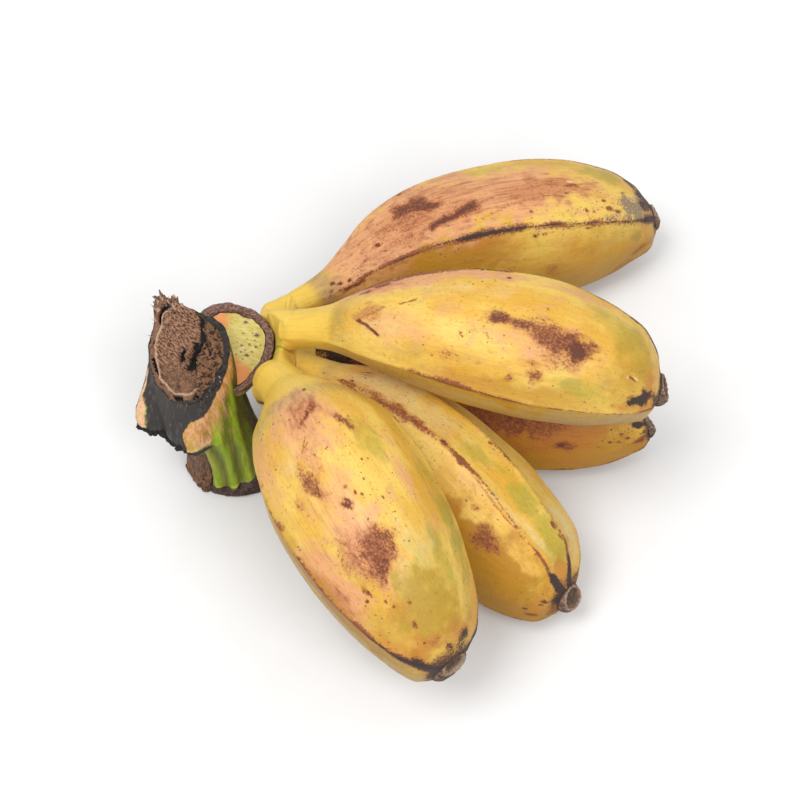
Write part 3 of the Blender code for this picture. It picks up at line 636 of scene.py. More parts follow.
frontBanana = dict(
    curve=((-41, -6, 45), (-24.3, -32, 63), (-25, -53, 65.5), (15.6, -98.8, 24.5)),
    girth=(8.2, 7.4, 8.0, 12.0, 18.0, 22.6, 24.9, 24.0, 21.1, 17.4, 13.9), wide=1.02, stub=(3.0, 6.2),
    facing=1.1, slant=0.32, neck=(0.265, 0.5),
    ridges=(22, ((0.25, 168), (0.45, 163), (0.7, 158), (0.8, 154), (0.88, 148), (0.96, 140)), 236, 315),
    wear=(
        (0, ((0.3, 0.8, 0.3), (0.8, 1.0, 0.5), (0.96, 2.0, 1.0))),
        (1, (
            (0.4, 0.8, 0.3), (0.52, 1.2, 0.7), (0.65, 1.8, 0.9), (0.74, 1.8, 0.9), (0.82, 2.0, 1.1),
            (0.95, 3.0, 1.3))),
        (2, ((0.3, 0.8, 0.3), (0.9, 1.2, 0.6))), (3, ((0.3, 0.8, 0.3), (0.9, 1.2, 0.6)))),
    blackLines=(
        (1, ((0.76, 0.4, 0.0), (0.82, 0.9, 0.8), (0.88, 1.5, 1.0), (0.95, 2.2, 1.2))),
        (0, ((0.88, 0.6, 0.0), (0.96, 2.6, 1.1)))),
    bruises=(
        (0.665, 108, 9.5, 5.4, 60, 0.9), (0.685, 110, 5.0, 3.6, 40, 1.05), (0.63, 98, 4.4, 3.0, -30, 0.95),
        (0.66, 97, 3.6, 2, 30, 0.9), (0.62, 100, 2.2, 0.9, 20, 0.8), (0.65, 124, 8, 6, 0, 0.55),
        (0.345, 95, 3, 1.6, 40, 0.9), (0.357, 101, 1.8, 1.1, 40, 1.1), (0.485, 122, 6.0, 3.0, -14, 0.9),
        (0.44, 116, 6, 4, 0, 0.35), (0.50, 120, 2.6, 1.4, -10, 0.8), (0.51, 137, 2.4, 2, 0, 0.5),
        (0.46, 125, 2, 1.4, 0, 0.6), (0.55, 110, 2.2, 0.8, -48, 1.4), (0.545, 107, 1.8, 0.6, -50, 1.2),
        (0.52, 104, 0.7, 0.5, 0, 1.3), (0.535, 99, 0.7, 0.5, 0, 1.3), (0.72, 132, 1.5, 1.2, 0, 0.95),
        (0.737, 136, 0.7, 0.6, 0, 1.4), (0.755, 125, 0.6, 0.5, 0, 1.3), (0.775, 121, 0.6, 0.5, 0, 1.2),
        (0.835, 116, 1.2, 0.9, 0, 1.1), (0.885, 118, 0.7, 0.6, 0, 1.4), (0.785, 108, 1.0, 0.6, 0, 1.0),
        (0.71, 116, 0.6, 0.4, 0, 1.1), (0.72, 114, 0.5, 0.4, 0, 1.1), (0.515, 160, 2, 1.4, 0, 0.8),
        (0.515, 160, 0.6, 0.5, 0, 1.4), (0.59, 160, 0.8, 0.7, 0, 1.4), (0.42, 162, 1.6, 1.2, 0, 0.5),
        (0.40, 80, 4.4, 2.0, -30, 0.9), (0.415, 78, 1.4, 1.0, 0, 0.9), (0.385, 84, 2, 1, 0, 0.5),
        (0.9, 108, 3, 2.4, 0, 0.5), (0.29, 92, 0.9, 0.7, 0, 1.2)),
    blacks=(
        (0.95, 95, 2.0, 1.5, 0, 0.7), (0.945, 66, 3.4, 3.4, 0, 0.9), (0.925, 138, 4, 2.4, 0, 0.9),
        (0.965, 110, 1.8, 6, 0, 0.7)),
    strokes=(
        (0.5, 1.0, ((0.345, 93), (0.36, 103), (0.37, 110))), (0.4, 0.7, ((0.41, 112), (0.42, 119))),
        (0.35, 0.7, ((0.4, 112), (0.412, 117))),
        (0.4, 0.8, ((0.64, 134), (0.66, 130), (0.665, 122), (0.68, 117))),
        (0.5, 0.8, ((0.385, 84), (0.4, 80), (0.42, 77))),
        (0.35, 0.7, ((0.65, 126), (0.66, 119), (0.675, 114)))),
    tans=(
        (0.35, 104, 7, 7, 0, 0.7), (0.66, 112, 9, 7, 0, 0.6), (0.5, 130, 10, 6, 0, 0.35),
        (0.7, 156, 12, 4, 0, 0.8)),
    roses=(
        (0.36, 108, 12, 12, 0, 0.8), (0.62, 112, 16, 10, 0, 0.7), (0.54, 110, 10, 8, 0, 0.6),
        (0.68, 150, 16, 7, 0, 0.9), (0.55, 60, 10, 3, 0, 0.6), (0.42, 155, 14, 6, 0, 0.5)),
    greens=(
        (0.82, 98, 11, 11, 0, 1.4), (0.76, 84, 12, 6, 0, 0.8), (0.74, 64, 12, 4, 0, 0.9),
        (0.7, 34, 16, 5, 0, 1.0), (0.45, 70, 7, 5, 0, 0.7), (0.86, 80, 7, 6, 0, 0.7),
        (0.42, 108, 5, 4, 0, 0.3)),
    creams=(
        (0.7, 80, 12, 6, 0, 0.5), (0.7, 196, 44, 10, 0, 0.9), (0.42, 125, 7, 4, 0, 0.4),
        (0.57, 100, 6, 4, 0, 0.4)),
    greys=(),
    specks=(
        (0.46, 100, 26, 16, 0, 0.35), (0.8, 138, 14, 8, 0, 0.5), (0.62, 30, 20, 3, 0, 0.9),
        (0.36, 150, 12, 8, 0, 0.5)),
    halos=(
        (0.905, 118, 7, 9, 0, 0.8), (0.86, 145, 7, 3, 0, 0.7), (0.92, 80, 6, 8, 0, 0.7),
        (0.78, 118, 5, 4, 0, 0.5)),
    scuffsAndHighlights=(), shadedGold=0.3, shadedGolds=((0.84, 110, 16, 20, 0, 0.45), (0.7, 165, 34, 5, 0, 0.6)))
bananas = dict(back=backBanana, top=topBanana, under=underBanana, middle=middleBanana, front=frontBanana)

# A finger's relief is given as (height, size); `root` is where the peel comes out of the crown and where it
# has
# its full girth, `rootShare` its girth there, and `inner` the rings under the dried end, as (share, depth).
# `floorShade` is the height, from 14 mm down to 3 mm, over which painted shade turns the peel deep gold.
fingerForm = dict(
    rows=205, columns=224, ridgeSharpness=0.37, ridgeSoftness=2.2, shoulder=0.6, blunt=0.7, root=(4.5, 9.5),
    rootShare=0.86, sunk=0.1, slantOver=13.0, inner=((0.96, -0.15), (0.9, 0.1), (0.7, 0.8)),
    ridge=(0.30, 0.8), swells=(0.30, 16.0), fibres=(0.07, 1.6), ends=(0.35, 2.2), endsOver=5.0, dent=0.12,
    shakeSize=3.5, fading=(0.6, 5.0), fruitFrom=(0.12, 0.3), floorShade=(14.0, 3.0))


def ridgePaths(finger, shares):
    # one column of angles for each ridge
    paths = [easedCurve(*zip(*ridge), shares) if isinstance(ridge, tuple) else np.full(len(shares), float(ridge))
             for ridge in finger["ridges"]]
    return np.stack(paths, axis=1)


def angularReach(angles, paths):
    # 1 on a ridge, and between two ridges drawn in towards their chord: 1 - s (1 - cos(half) / cos(from
    # the middle))
    reach = np.ones((len(paths), len(angles)))
    ends = np.concatenate([paths[:, 1:], paths[:, :1] + 360], axis=1)
    for start, end in zip(paths.T[..., None], ends.T[..., None]):
        turned = (angles[None] - start) % 360
        half = np.radians(end - start) / 2
        chord = np.cos(half) / np.cos(np.radians(turned) - half)
        share = np.minimum(fingerForm["ridgeSharpness"] / np.tan(half), 1)
        reach = np.where(turned < end - start, 1 - share * (1 - chord), reach)
    waves = np.arange(len(angles) // 2 + 1) * math.radians(fingerForm["ridgeSoftness"])
    return np.fft.irfft(np.fft.rfft(reach, axis=1) * np.exp(-0.5 * waves**2), len(angles), axis=1)


def girthAlong(finger, shares, length):
    # eased through the finger's own girths, then by way of a blunt shoulder to its dried end
    end, narrow = 1 - finger["stub"][0] / length, finger["stub"][1] + fingerForm["shoulder"]
    wide = finger["girth"][-1]
    stations = girthAt + ((girthAt[-1] + end) / 2, end)
    return easedCurve(stations, finger["girth"] + (narrow + fingerForm["blunt"] * (wide - narrow), narrow), shares)


def spotMask(spots, place, angles, girth):
    # each spot is a shaken ellipse that fades over its edge, and the strongest one counts
    run, shakeX, shakeY, length = place
    mask = np.zeros(shakeX.shape)
    for share, angle, halfLong, halfWide, turn, strength in spots:
        shake = 0.45 * min(halfLong, halfWide) + 0.15
        x = (run - share * length)[:, None] + shake * shakeX
        y = np.radians(turnBetween(angles, angle))[None] * girth[:, None] + shake * shakeY
        cosine, sine = math.cos(math.radians(turn)), math.sin(math.radians(turn))
        distance = np.hypot((x * cosine + y * sine) / halfLong, (y * cosine - x * sine) / halfWide)
        mask = np.maximum(mask, strength * (1 - smoothStep(0.35, 1.35, distance)))
    return mask


def strokeMask(strokes, place, angles, girth):
    # a soft line through (share, angle) stops, laid out flat round the first stop
    run, shakeX, shakeY, length = place
    mask = np.zeros(shakeX.shape)
    for width, strength, stops in strokes:
        first = stops[0][1]
        x = run[:, None] + 0.5 * shakeX * width
        y = np.radians(turnBetween(angles, first))[None] * girth[:, None] + 0.5 * shakeY * width
        here = np.interp([share * length for share, _ in stops], run, girth)
        track = [(share * length, math.radians(angle - first) * size) for (share, angle), size in zip(stops, here)]
        mask = np.maximum(mask, strength * trackMask(x, y, track, width))
    return mask


def lineMask(lines, shares, angles, girth, paths, fading):
    # a soft line along a ridge, with its own width and strength at each share, that comes and goes
    mask = np.zeros((len(shares), len(angles)))
    for ridge, stations in lines:
        at, widths, strengths = zip(*stations)
        width, strength = np.interp(shares, at, widths)[:, None] * 0.75, np.interp(shares, at, strengths)[:, None]
        strength = strength * smoothStep(at[0] - 0.06, at[0], shares)[:, None]
        away = np.radians(turnBetween(angles[None], paths[:, ridge:ridge + 1])) * girth[:, None]
        mask = np.maximum(mask, strength * (1 + fading) * bump(away + 0.4 * width * fading, width))
    return mask


def makeBanana(name, finger, seed):
    # point = curve(share) + girth(share) * reach(angle) * (wide * cos(angle) * side + sin(angle) * up),
    # plus relief
    form = fingerForm
    length = alongCurve(finger["curve"], [0, 1])[2]
    end, start = 1 - finger["stub"][0] / length, form["root"][0] / length
    even = np.linspace(0, 1, form["rows"])
    shares = start + (end - start) * (even + 0.06 * np.sin(2 * np.pi * even) / np.pi - 0.05 * even * (1 - even))
    angles = np.arange(form["columns"]) * 360 / form["columns"]
    run, around = shares * length, np.radians(angles)
    centres, ahead, _ = alongCurve(finger["curve"], shares)
    side, up = levelFrame(ahead)
    girth, paths = girthAlong(finger, shares, length), ridgePaths(finger, shares)
    straight = np.broadcast_arrays(girth[:, None] * np.cos(around), girth[:, None] * np.sin(around), run[:, None])
    straight = np.stack(straight, axis=-1) + seed * 211.0
    shakes = [cloudNoise(straight, form["shakeSize"], seed + 20 + axis, 4) for axis in (0, 1)]
    place = run, *shakes, length
    fading = form["fading"][0] * cloudNoise(straight * [1, 1, 0.7], form["fading"][1], seed + 30, 3)

    def spots(key):
        return spotMask(finger[key], place, angles, girth)

    def rough(kind, stretch, offset, octaves):
        height, size = form[kind]
        return height * cloudNoise(straight * [1, 1, stretch], size, seed + offset, octaves)

    toRidge = np.radians(turnBetween(angles[None, :, None], paths[:, None, :]))
    toRidge = np.abs(toRidge).min(axis=-1) * girth[:, None]
    onFruit = smoothStep(*form["fruitFrom"], shares)[:, None]
    atEnd = smoothStep(end - form["endsOver"] / length, end, shares)[:, None]
    bruise = np.maximum(spots("bruises"), strokeMask(finger["strokes"], place, angles, girth))
    relief = form["ridge"][0] * bump(toRidge, form["ridge"][1]) * onFruit
    relief += onFruit * rough("swells", 0.6, 0, 2) + rough("fibres", 0.12, 5, 3) + atEnd * rough("ends", 0.3, 9, 3)
    relief -= form["dent"] * np.minimum(bruise, 1)

    grown = form["rootShare"] + (1 - form["rootShare"]) * smoothStep(*form["root"], run)[:, None]
    angular = 1 + (angularReach(angles, paths) - 1) * (0.5 + 0.5 * onFruit)
    reach = girth[:, None] * angular * grown + relief - form["sunk"]
    points = ringPoints(centres, side, up, reach * np.cos(around) * finger["wide"], reach * np.sin(around))
    slanted = finger["slant"] * smoothStep(end - form["slantOver"] / length, end, shares)[:, None]
    points -= (slanted * reach * np.sin(around))[..., None] * ahead[-1]
    middle = centres[-1]
    inner = [middle + (points[-1] - middle) * share - ahead[-1] * depth for share, depth in form["inner"]]
    points[..., 2] = np.maximum(points[..., 2], 0.0)

    wear = lineMask(finger["wear"], shares, angles, girth, paths, fading)
    black = np.maximum(spots("blacks"), lineMask(finger["blackLines"], shares, angles, girth, paths, 0.5 * fading))
    tipped = smoothStep(end - 2.2 / length, end - 0.2 / length, shares)[:, None]
    black = np.maximum(black, 0.75 * tipped * (1 + fading))
    neckAt, neckStrength = finger["neck"]
    stalk = (1 - smoothStep(neckAt - 0.02, neckAt + 0.03, shares))[:, None]
    neck = neckStrength * bump(shares - neckAt - 0.03, 0.04)[:, None]
    # painted shade: the underside, and the parts less than 14 mm above the floor, take the deep gold
    shaded = smoothStep(0.85, -0.2, np.sin(around))[None]
    shaded = np.maximum(shaded, 0.7 * smoothStep(*form["floorShade"], points[..., 2]))
    shadedGold = np.maximum(finger["shadedGold"] * shaded * onFruit, spots("shadedGolds"))
    masks = {
        "straight": straight,
        "paintOne": fourMasks(bruise, black, wear, spots("tans")),
        "paintTwo": fourMasks(spots("greens"), spots("creams"), spots("specks"), neck),
        "paintThree": fourMasks(stalk, spots("greys"), spots("halos"), spots("scuffsAndHighlights")),
        "paintFour": fourMasks(shadedGold, spots("roses")),
    }
    inner = np.stack(inner)
    inner[..., 2] = np.maximum(inner[..., 2], 0.0)
    points = np.concatenate([points, inner])
    masks = {key: np.concatenate([values, np.repeat(values[-1:], len(inner), axis=0)])
             for key, values in masks.items()}
    makeGridPiece(f"banana_{name}_peel", points, masks, peelMaterial, "peel", f"banana_{name}")


firstSeed = 3
for number, (fingerName, fingerData) in enumerate(bananas.items()):
    makeBanana(fingerName, fingerData, number + firstSeed)

# The dried flower ends
# `domeFrom` is the share of the rings that lies before the dome, which is `pressed` in to this share of its
# reach, and `hollow`, `pleatDepth` and `rim` are in millimetres.

dryEnd = dict(
    dark=paint(70, 50, 42), mid=paint(156, 124, 104), light=paint(206, 184, 164), rim=paint(206, 178, 150),
    rows=70, columns=110, domeFrom=0.22, roundness=0.7, base=1.0, pressed=0.62, hollow=0.9,
    rimSunk=(0.35, 0.4), sunk=0.3, pleats=11, pleatDepth=0.22, depth=0.4,
    grains=dict(
        pleats=("straight", (1, 1, 0.3), 1.3, 5.0, 0.7), flecks=("straight", everyWay, 3.5, 4.0, 0.75)),
    blends=dict(skin=("dark", "mid", "pleats", 0.38, 0.62, 1.0)),
    veils=dict(flecked=("light", "flecks", 0.54, 0.68, 0.8)),
    coats=dict(
        hollow=("dark", "pleats", 2.0, 0.5, 1.3, 0.55), rim=("rim", "flecks", 2.4, 0.45, 1.2, 0.8),
        root=("dark", "flecks", 1.2, 0.3, 0.9, 1.0)))


def makeDryEndLook():
    look = Look("flower_end", dryEnd)
    rim, hollow, root, _ = look.masks("paintOne")
    colour = look.veil(look.blend("skin"), "flecked")
    colour = look.coat(colour, "hollow", hollow)
    colour = look.coat(colour, "rim", rim)
    colour = look.coat(colour, "root", root)
    return look.finish(colour, 0.85, look.total((look.grain["pleats"], 1.0), (look.grain["flecks"], 0.6)))


def makeDryEnd(name, finger, seed):
    # a dome over the finger's end, reach = radius * cos(rise)^0.7 and forward = stub * sin(rise), whose
    # top is
    # pressed onto a slanted face and hollowed: point - n * (over + hollow * exp(-(r / 0.6 radius)^2))
    domeFrom, pressedTo = dryEnd["domeFrom"], dryEnd["pressed"]
    length = alongCurve(finger["curve"], [0, 1])[2]
    stub, radius = finger["stub"]
    t = np.linspace(0, 1, dryEnd["rows"])
    rise = np.clip((t - domeFrom) / (1 - domeFrom), 0, 1) * math.pi / 2 * 0.985
    risen = np.sin(rise)[:, None]
    forward = np.where(t < domeFrom, (t / domeFrom - 1) * 0.5, np.sin(rise))
    profile = dryEnd["base"] * np.cos(rise) ** dryEnd["roundness"] * easedCurve((0, domeFrom, 1), (0.93, 1, 1), t)
    centres, ahead, _ = alongCurve(finger["curve"], np.minimum(1 - stub / length * (1 - forward), 1))
    side, up = levelFrame(ahead)
    angles = np.radians(np.arange(dryEnd["columns"]) * 360 / dryEnd["columns"])
    ring = np.broadcast_arrays(np.cos(angles)[None] * 6, np.sin(angles)[None] * 6, t[:, None] * 8)
    ring = np.stack(ring, axis=-1)
    reach = radius * profile[:, None] * (1 + 0.06 * cloudNoise(ring, 4.0, seed + 3, 3) * risen)
    points = ringPoints(centres, side, up, reach * np.cos(angles), reach * np.sin(angles))

    base, lead, lift = alongCurve(finger["curve"], [1 - stub / length])[0][0], ahead[-1], up[-1]
    points -= (finger["slant"] * reach * np.sin(angles))[..., None] * lead
    normal = unit(lead + finger["facing"] * lift)
    along, over = stub * (normal @ lead), radius * (normal @ lift)
    support = math.hypot(along, over)
    face = base + pressedTo / support * (stub * along * lead + radius * over * lift)
    excess = (points - base) @ normal - pressedTo * support
    pressed = np.maximum(excess, 0)
    across = points - normal * pressed[..., None] - face
    r = np.linalg.norm(across, axis=-1)
    turned = np.arctan2(across @ np.cross(normal, side[-1]), across @ side[-1])
    onFace = smoothStep(0.0, 0.5, pressed)
    wrinkle = np.cos(dryEnd["pleats"] * turned + 3.0 * cloudNoise(ring, 5.0, seed, 2))
    wrinkle += 0.8 * cloudNoise(ring, 1.6, seed + 4, 3)
    wrinkle *= dryEnd["pleatDepth"] * smoothStep(0.15, 0.5, r / radius) * (0.35 + 0.65 * onFace)
    wrinkle *= smoothStep(0.1, 0.4, risen)
    rimDeep, rimWide = dryEnd["rimSunk"]
    sunk = pressed + dryEnd["hollow"] * onFace * bump(r, 0.6 * radius) - rimDeep * bump(excess - 0.1, rimWide)
    sunk = (sunk + dryEnd["sunk"]) * smoothStep(0.0, 0.3, risen)
    points = points - normal * (sunk - wrinkle)[..., None]
    points[..., 2] = np.maximum(points[..., 2], 0.0)
    rim, hollow = bump(excess - 0.1, 0.5), onFace * smoothStep(0.9, 0.4, r / radius)
    masks = {"straight": ring + seed * 31.0, "paintOne": fourMasks(rim, hollow, 1 - smoothStep(0.0, 0.35, risen))}
    makeGridPiece(f"tip_{name}_dry", points, masks, dryEndMaterial, "flower_end", f"tip_{name}")


dryEndMaterial = makeDryEndLook()
for number, (fingerName, fingerData) in enumerate(bananas.items()):
    makeDryEnd(fingerName, fingerData, number + firstSeed)

# The scar's outline and the crown
# The scar is a profile of (share of its outline, height) rings; `reach` is its outline every 45 degrees,
# and its
# bumps are (x, y, size, rise) and its specks (x, y, size), all on its own face. The crown is a cushion with
# `centre` and `half` sizes and the finger stalks' first `reach`, seen from `middle`. `edge` is the plane that
# ends it beside the stalk of the bunch.

scar = dict(
    centre=(-49.6, 4.0, 45.0), normal=(0.28, -0.42, 0.86),
    reach=(10.2, 12.5, 14.0, 16.0, 13.0, 16.6, 13.4, 9.3),
    profile=(
        (0.30, -24.0), (0.72, -19.0), (0.98, -11.0), (1.08, -4.0), (1.03, 0.0), (0.97, 1.5), (0.90, 1.4),
        (0.83, 0.0), (0.45, 0.2), (0.02, 0.3)),
    flankRings=5, rows=130, columns=240, ringWide=0.12, bumps=((-6.4, 9.4, 3.2, 1.2), (4.0, 3.0, 3.0, 0.5)),
    specks=(
        (1.6, 9.2, 1.1), (5.2, 5.2, 1.3), (0.8, 5.6, 0.6), (2.8, 2.0, 0.8), (5.0, 1.4, 0.8),
        (0.4, 1.6, 0.7), (2.2, -1.6, 1.0), (0.2, -0.6, 0.7), (6.4, 2.0, 0.5), (3.8, 5.8, 0.6),
        (-1.0, 2.4, 0.5), (1.6, 0.2, 0.6), (3.8, -0.4, 0.6), (-1.4, -1.6, 0.6), (0.8, -2.8, 0.5),
        (4.6, 3.4, 0.5), (2.0, 3.8, 0.4)),
    corkDark=paint(92, 62, 58), corkLight=paint(166, 126, 110), cut=paint(198, 182, 84),
    cutPale=paint(222, 204, 124), orange=paint(232, 150, 84), line=paint(72, 42, 48),
    speck=paint(92, 66, 80), flank=paint(140, 132, 48), depth=0.45,
    grains=dict(
        pimples=("place", everyWay, 1.5, 4.0, 0.7), grain=("place", everyWay, 3.0, 4.0, 0.7),
        lines=("place", (0.4, 1.6, 1), 0.9, 4.0, 0.65), clouds=("place", everyWay, 0.3, 4.0, 0.6),
        weather=("place", (1, 1, 0.3), 0.5, 5.0, 0.7), blush=("place", everyWay, 0.6, 4.0, 0.6)),
    blends=dict(
        face=("cut", "cutPale", "lines", 0.38, 0.62, 1.0),
        flank=("flank", "cut", "clouds", 0.38, 0.62, 0.5),
        cork=("corkDark", "corkLight", "pimples", 0.38, 0.62, 1.0)),
    veils=dict(weathered=("corkLight", "weather", 0.5, 0.66, 0.55)),
    coats=dict(
        orange=("orange", "blush", 1.4, 0.15, 0.95, 1.0), specks=("speck", "grain", 2.4, 0.4, 0.9, 1.0),
        cork=(None, "pimples", 0.6, 0.3, 0.6, 1.0), line=("line", "grain", 0.5, 0.3, 0.8, 1.0)))

crown = dict(
    middle=(-37.5, 7.5, 38.0), centre=(-42.5, 7.5, 37.0), half=(10.5, 17.0, 11.0), edge=-45.3,
    reach=dict(back=9.0, top=12.0, under=12.0, middle=12.0, front=12.0), girths=(1.0, 0.98, 0.95, 0.6),
    inward=0.55, blend=0.7, scarRoom=0.2, rows=170, columns=220, search=(1.0, 34.0, 0.8), halvings=9,
    limeSpot=((-38.5, 4.5, 46.0), (1, 1.2, 1), 4.5),
    brownSpots=(((-41.5, -10.0, 36.0), (1.6, 1.0, 0.8), 2.8), ((-35.0, 22.0, 45.0), everyWay, 2.0)),
    yellow=paint(250, 208, 84), pale=paint(252, 212, 94), lime=paint(226, 208, 76),
    cream=paint(250, 222, 130), brown=paint(134, 84, 66), crease=paint(178, 120, 50),
    shader={"Subsurface Weight": 0.12, "Subsurface Radius": (1.0, 0.6, 0.15), "Subsurface Scale": 0.003},
    depth=0.3,
    grains=dict(
        clouds=("place", everyWay, 0.2, 4.0, 0.6), lines=("place", (0.25, 1, 1), 1.2, 4.0, 0.6),
        fine=("place", everyWay, 2.5, 4.0, 0.65)),
    blends=dict(skin=("yellow", "pale", "clouds", 0.38, 0.62, 1.0)),
    veils=dict(lined=("crease", "lines", 0.56, 0.7, 0.12)),
    coats=dict(
        cream=("cream", "lines", 0.8, 0.1, 0.9, 0.6), lime=("lime", "lines", 0.8, 0.15, 0.9, 1.0),
        crease=("crease", "fine", 0.7, 0.3, 0.9, 0.8), brown=("brown", "fine", 1.1, 0.35, 0.8, 1.0)))


def scarReach(angles):
    stations = np.arange(-2, 11)
    return easedCurve(stations * 45, np.take(scar["reach"], stations, mode="wrap"), angles)


def scarGap(points):
    # how far out from the scar's flank, carried on above it: r - share(height) * reach(angle)
    normal = unit(np.array(scar["normal"]))
    right, upslope = tiltedAxes(normal)
    offset = points - np.array(scar["centre"])
    x, y = offset @ right, offset @ upslope
    outs, ups = zip(*scar["profile"][:scar["flankRings"]])
    return np.hypot(x, y) - np.interp(offset @ normal, ups, outs) * scarReach(np.degrees(np.arctan2(y, x)) % 360)


def capsuleGap(points, start, end, startRadius, endRadius):
    # distance to the nearest point of the segment, less the radius there
    line = end - start
    t = np.clip((points - start) @ line / (line @ line), 0, 1)
    away = np.linalg.norm(points - start - t[..., None] * line, axis=-1)
    return away - startRadius - t * (endRadius - startRadius)


def crownGap(points):
    # smooth union -k log(sum(exp(-gap / k))) of the cushion and the first stretch of each finger's
    # stalk, then the
    # smooth intersection k log(sum(exp(gap / k))) with all that is clear of the scar and past the
    # cushion's edge
    centre, half, k = np.array(crown["centre"]), np.array(crown["half"]), crown["blend"]
    girths, far = crown["girths"], 30
    gaps = [(np.linalg.norm((points - centre) / half, axis=-1) - 1) * half.min()]
    for name, finger in bananas.items():
        length = alongCurve(finger["curve"], [0, 1])[2]
        shares = np.linspace(0, crown["reach"][name] / length, len(girths))
        stops = alongCurve(finger["curve"], shares)[0]
        stops = np.concatenate([[stops[0] + crown["inward"] * (centre - stops[0])], stops])
        radii = girthAlong(finger, shares, length) * girths
        radii = np.concatenate([radii[:1], radii])
        parts = [capsuleGap(points, *stops[n:n + 2], *radii[n:n + 2]) for n in range(len(girths))]
        gaps.append(np.minimum.reduce(parts))
    union = -k * np.log(sum(np.exp(-np.minimum(gap, far) / k) for gap in gaps))
    clear = np.maximum(crown["scarRoom"] - scarGap(points), crown["edge"] - points[..., 0])
    return k * np.logaddexp(np.minimum(union, far) / k, clear / k), np.stack(gaps[1:])


def makeCrownLook():
    look = Look("crown", crown)
    lime, crease, brown, cream = look.masks("paintOne")
    # painted highlight: cream on the crown's upper parts
    colour = look.coat(look.blend("skin"), "cream", cream)
    colour = look.coat(colour, "lime", lime)
    colour = look.veil(colour, "lined")
    colour = look.coat(colour, "crease", crease)
    colour = look.coat(colour, "brown", brown)
    fine = look.grain["fine"]
    height = look.total((look.grain["lines"], 0.8), (fine, 0.4))
    return look.finish(colour, look.span(fine, 0.3, 0.7, 0.45, 0.6), height)


def makeCrown():
    # along each direction from the middle, the last place where the gap is zero
    middle, step = np.array(crown["middle"]), crown["search"][2]
    down = np.linspace(0, math.pi, crown["rows"] + 2)[1:-1, None]
    rays = ballDirections(down, np.arange(crown["columns"])[None] * 2 * math.pi / crown["columns"])
    inside = np.full(rays.shape[:2], 0.5)
    for distance in np.arange(*crown["search"]):
        inside = np.where(crownGap(middle + rays * distance)[0] < 0, distance, inside)
    outside = inside + step
    for _ in range(crown["halvings"]):
        halfway = (inside + outside) / 2
        within = crownGap(middle + rays * halfway[..., None])[0] < 0
        inside, outside = np.where(within, halfway, inside), np.where(within, outside, halfway)
    points = middle + rays * inside[..., None]
    relief = 0.18 * cloudNoise(points, 5.0, 71, 3) + 0.07 * cloudNoise(points * [0.3, 1, 1], 1.2, 72, 2) - 0.1
    points += rays * relief[..., None]

    def spotOn(place, stretch, size):
        return bump(np.linalg.norm((points - place) / stretch, axis=-1), size)

    nearest = np.sort(crownGap(points)[1], axis=0)[:2]
    crease = bump(nearest[1] - nearest[0], 0.9) * smoothStep(2.5, 0.6, nearest[0])
    lime = np.maximum(spotOn(*crown["limeSpot"]), 0.25 * smoothStep(2.5, 0.4, scarGap(points)))
    brown = np.maximum.reduce([spotOn(*spot) for spot in crown["brownSpots"]])
    # painted highlight: paler cream towards the crown's top, from 28 to 38 mm up
    cream = 0.2 * smoothStep(28.0, 38.0, points[..., 2])
    masks = {"place": points, "paintOne": fourMasks(lime, crease, brown, cream)}
    makeGridPiece("crown_tissue", points, masks, makeCrownLook(), "crown", "crown")


makeCrown()

# The stalk of the bunch
# Angles run round the column: 0 is the right, 90 the back, 180 the left and 270 the side by the camera.
# Shares
# run up it, 0 at the foot and 1 at the upper cut, and shares of the cut run from 0 in its middle to 1 at
# its rim.
# `x`, `y`, `z`, `tilt`, `halfX` and `halfY` are its rings at the shares in `at`. `flap`, `lip` and `worn` are
# (reach, angle, width), `tuft` has its rise as well, and `ribs` are (how many, height). The lists from
# charcoalFrom to burntFrom are lines on the skin or the cut, as (angle, share) or (share, angle), and
# `fold` is
# (y, x) on the cut. A span is (opening, opened, closing, closed), and a pit is (x, y, half x, half y, depth).

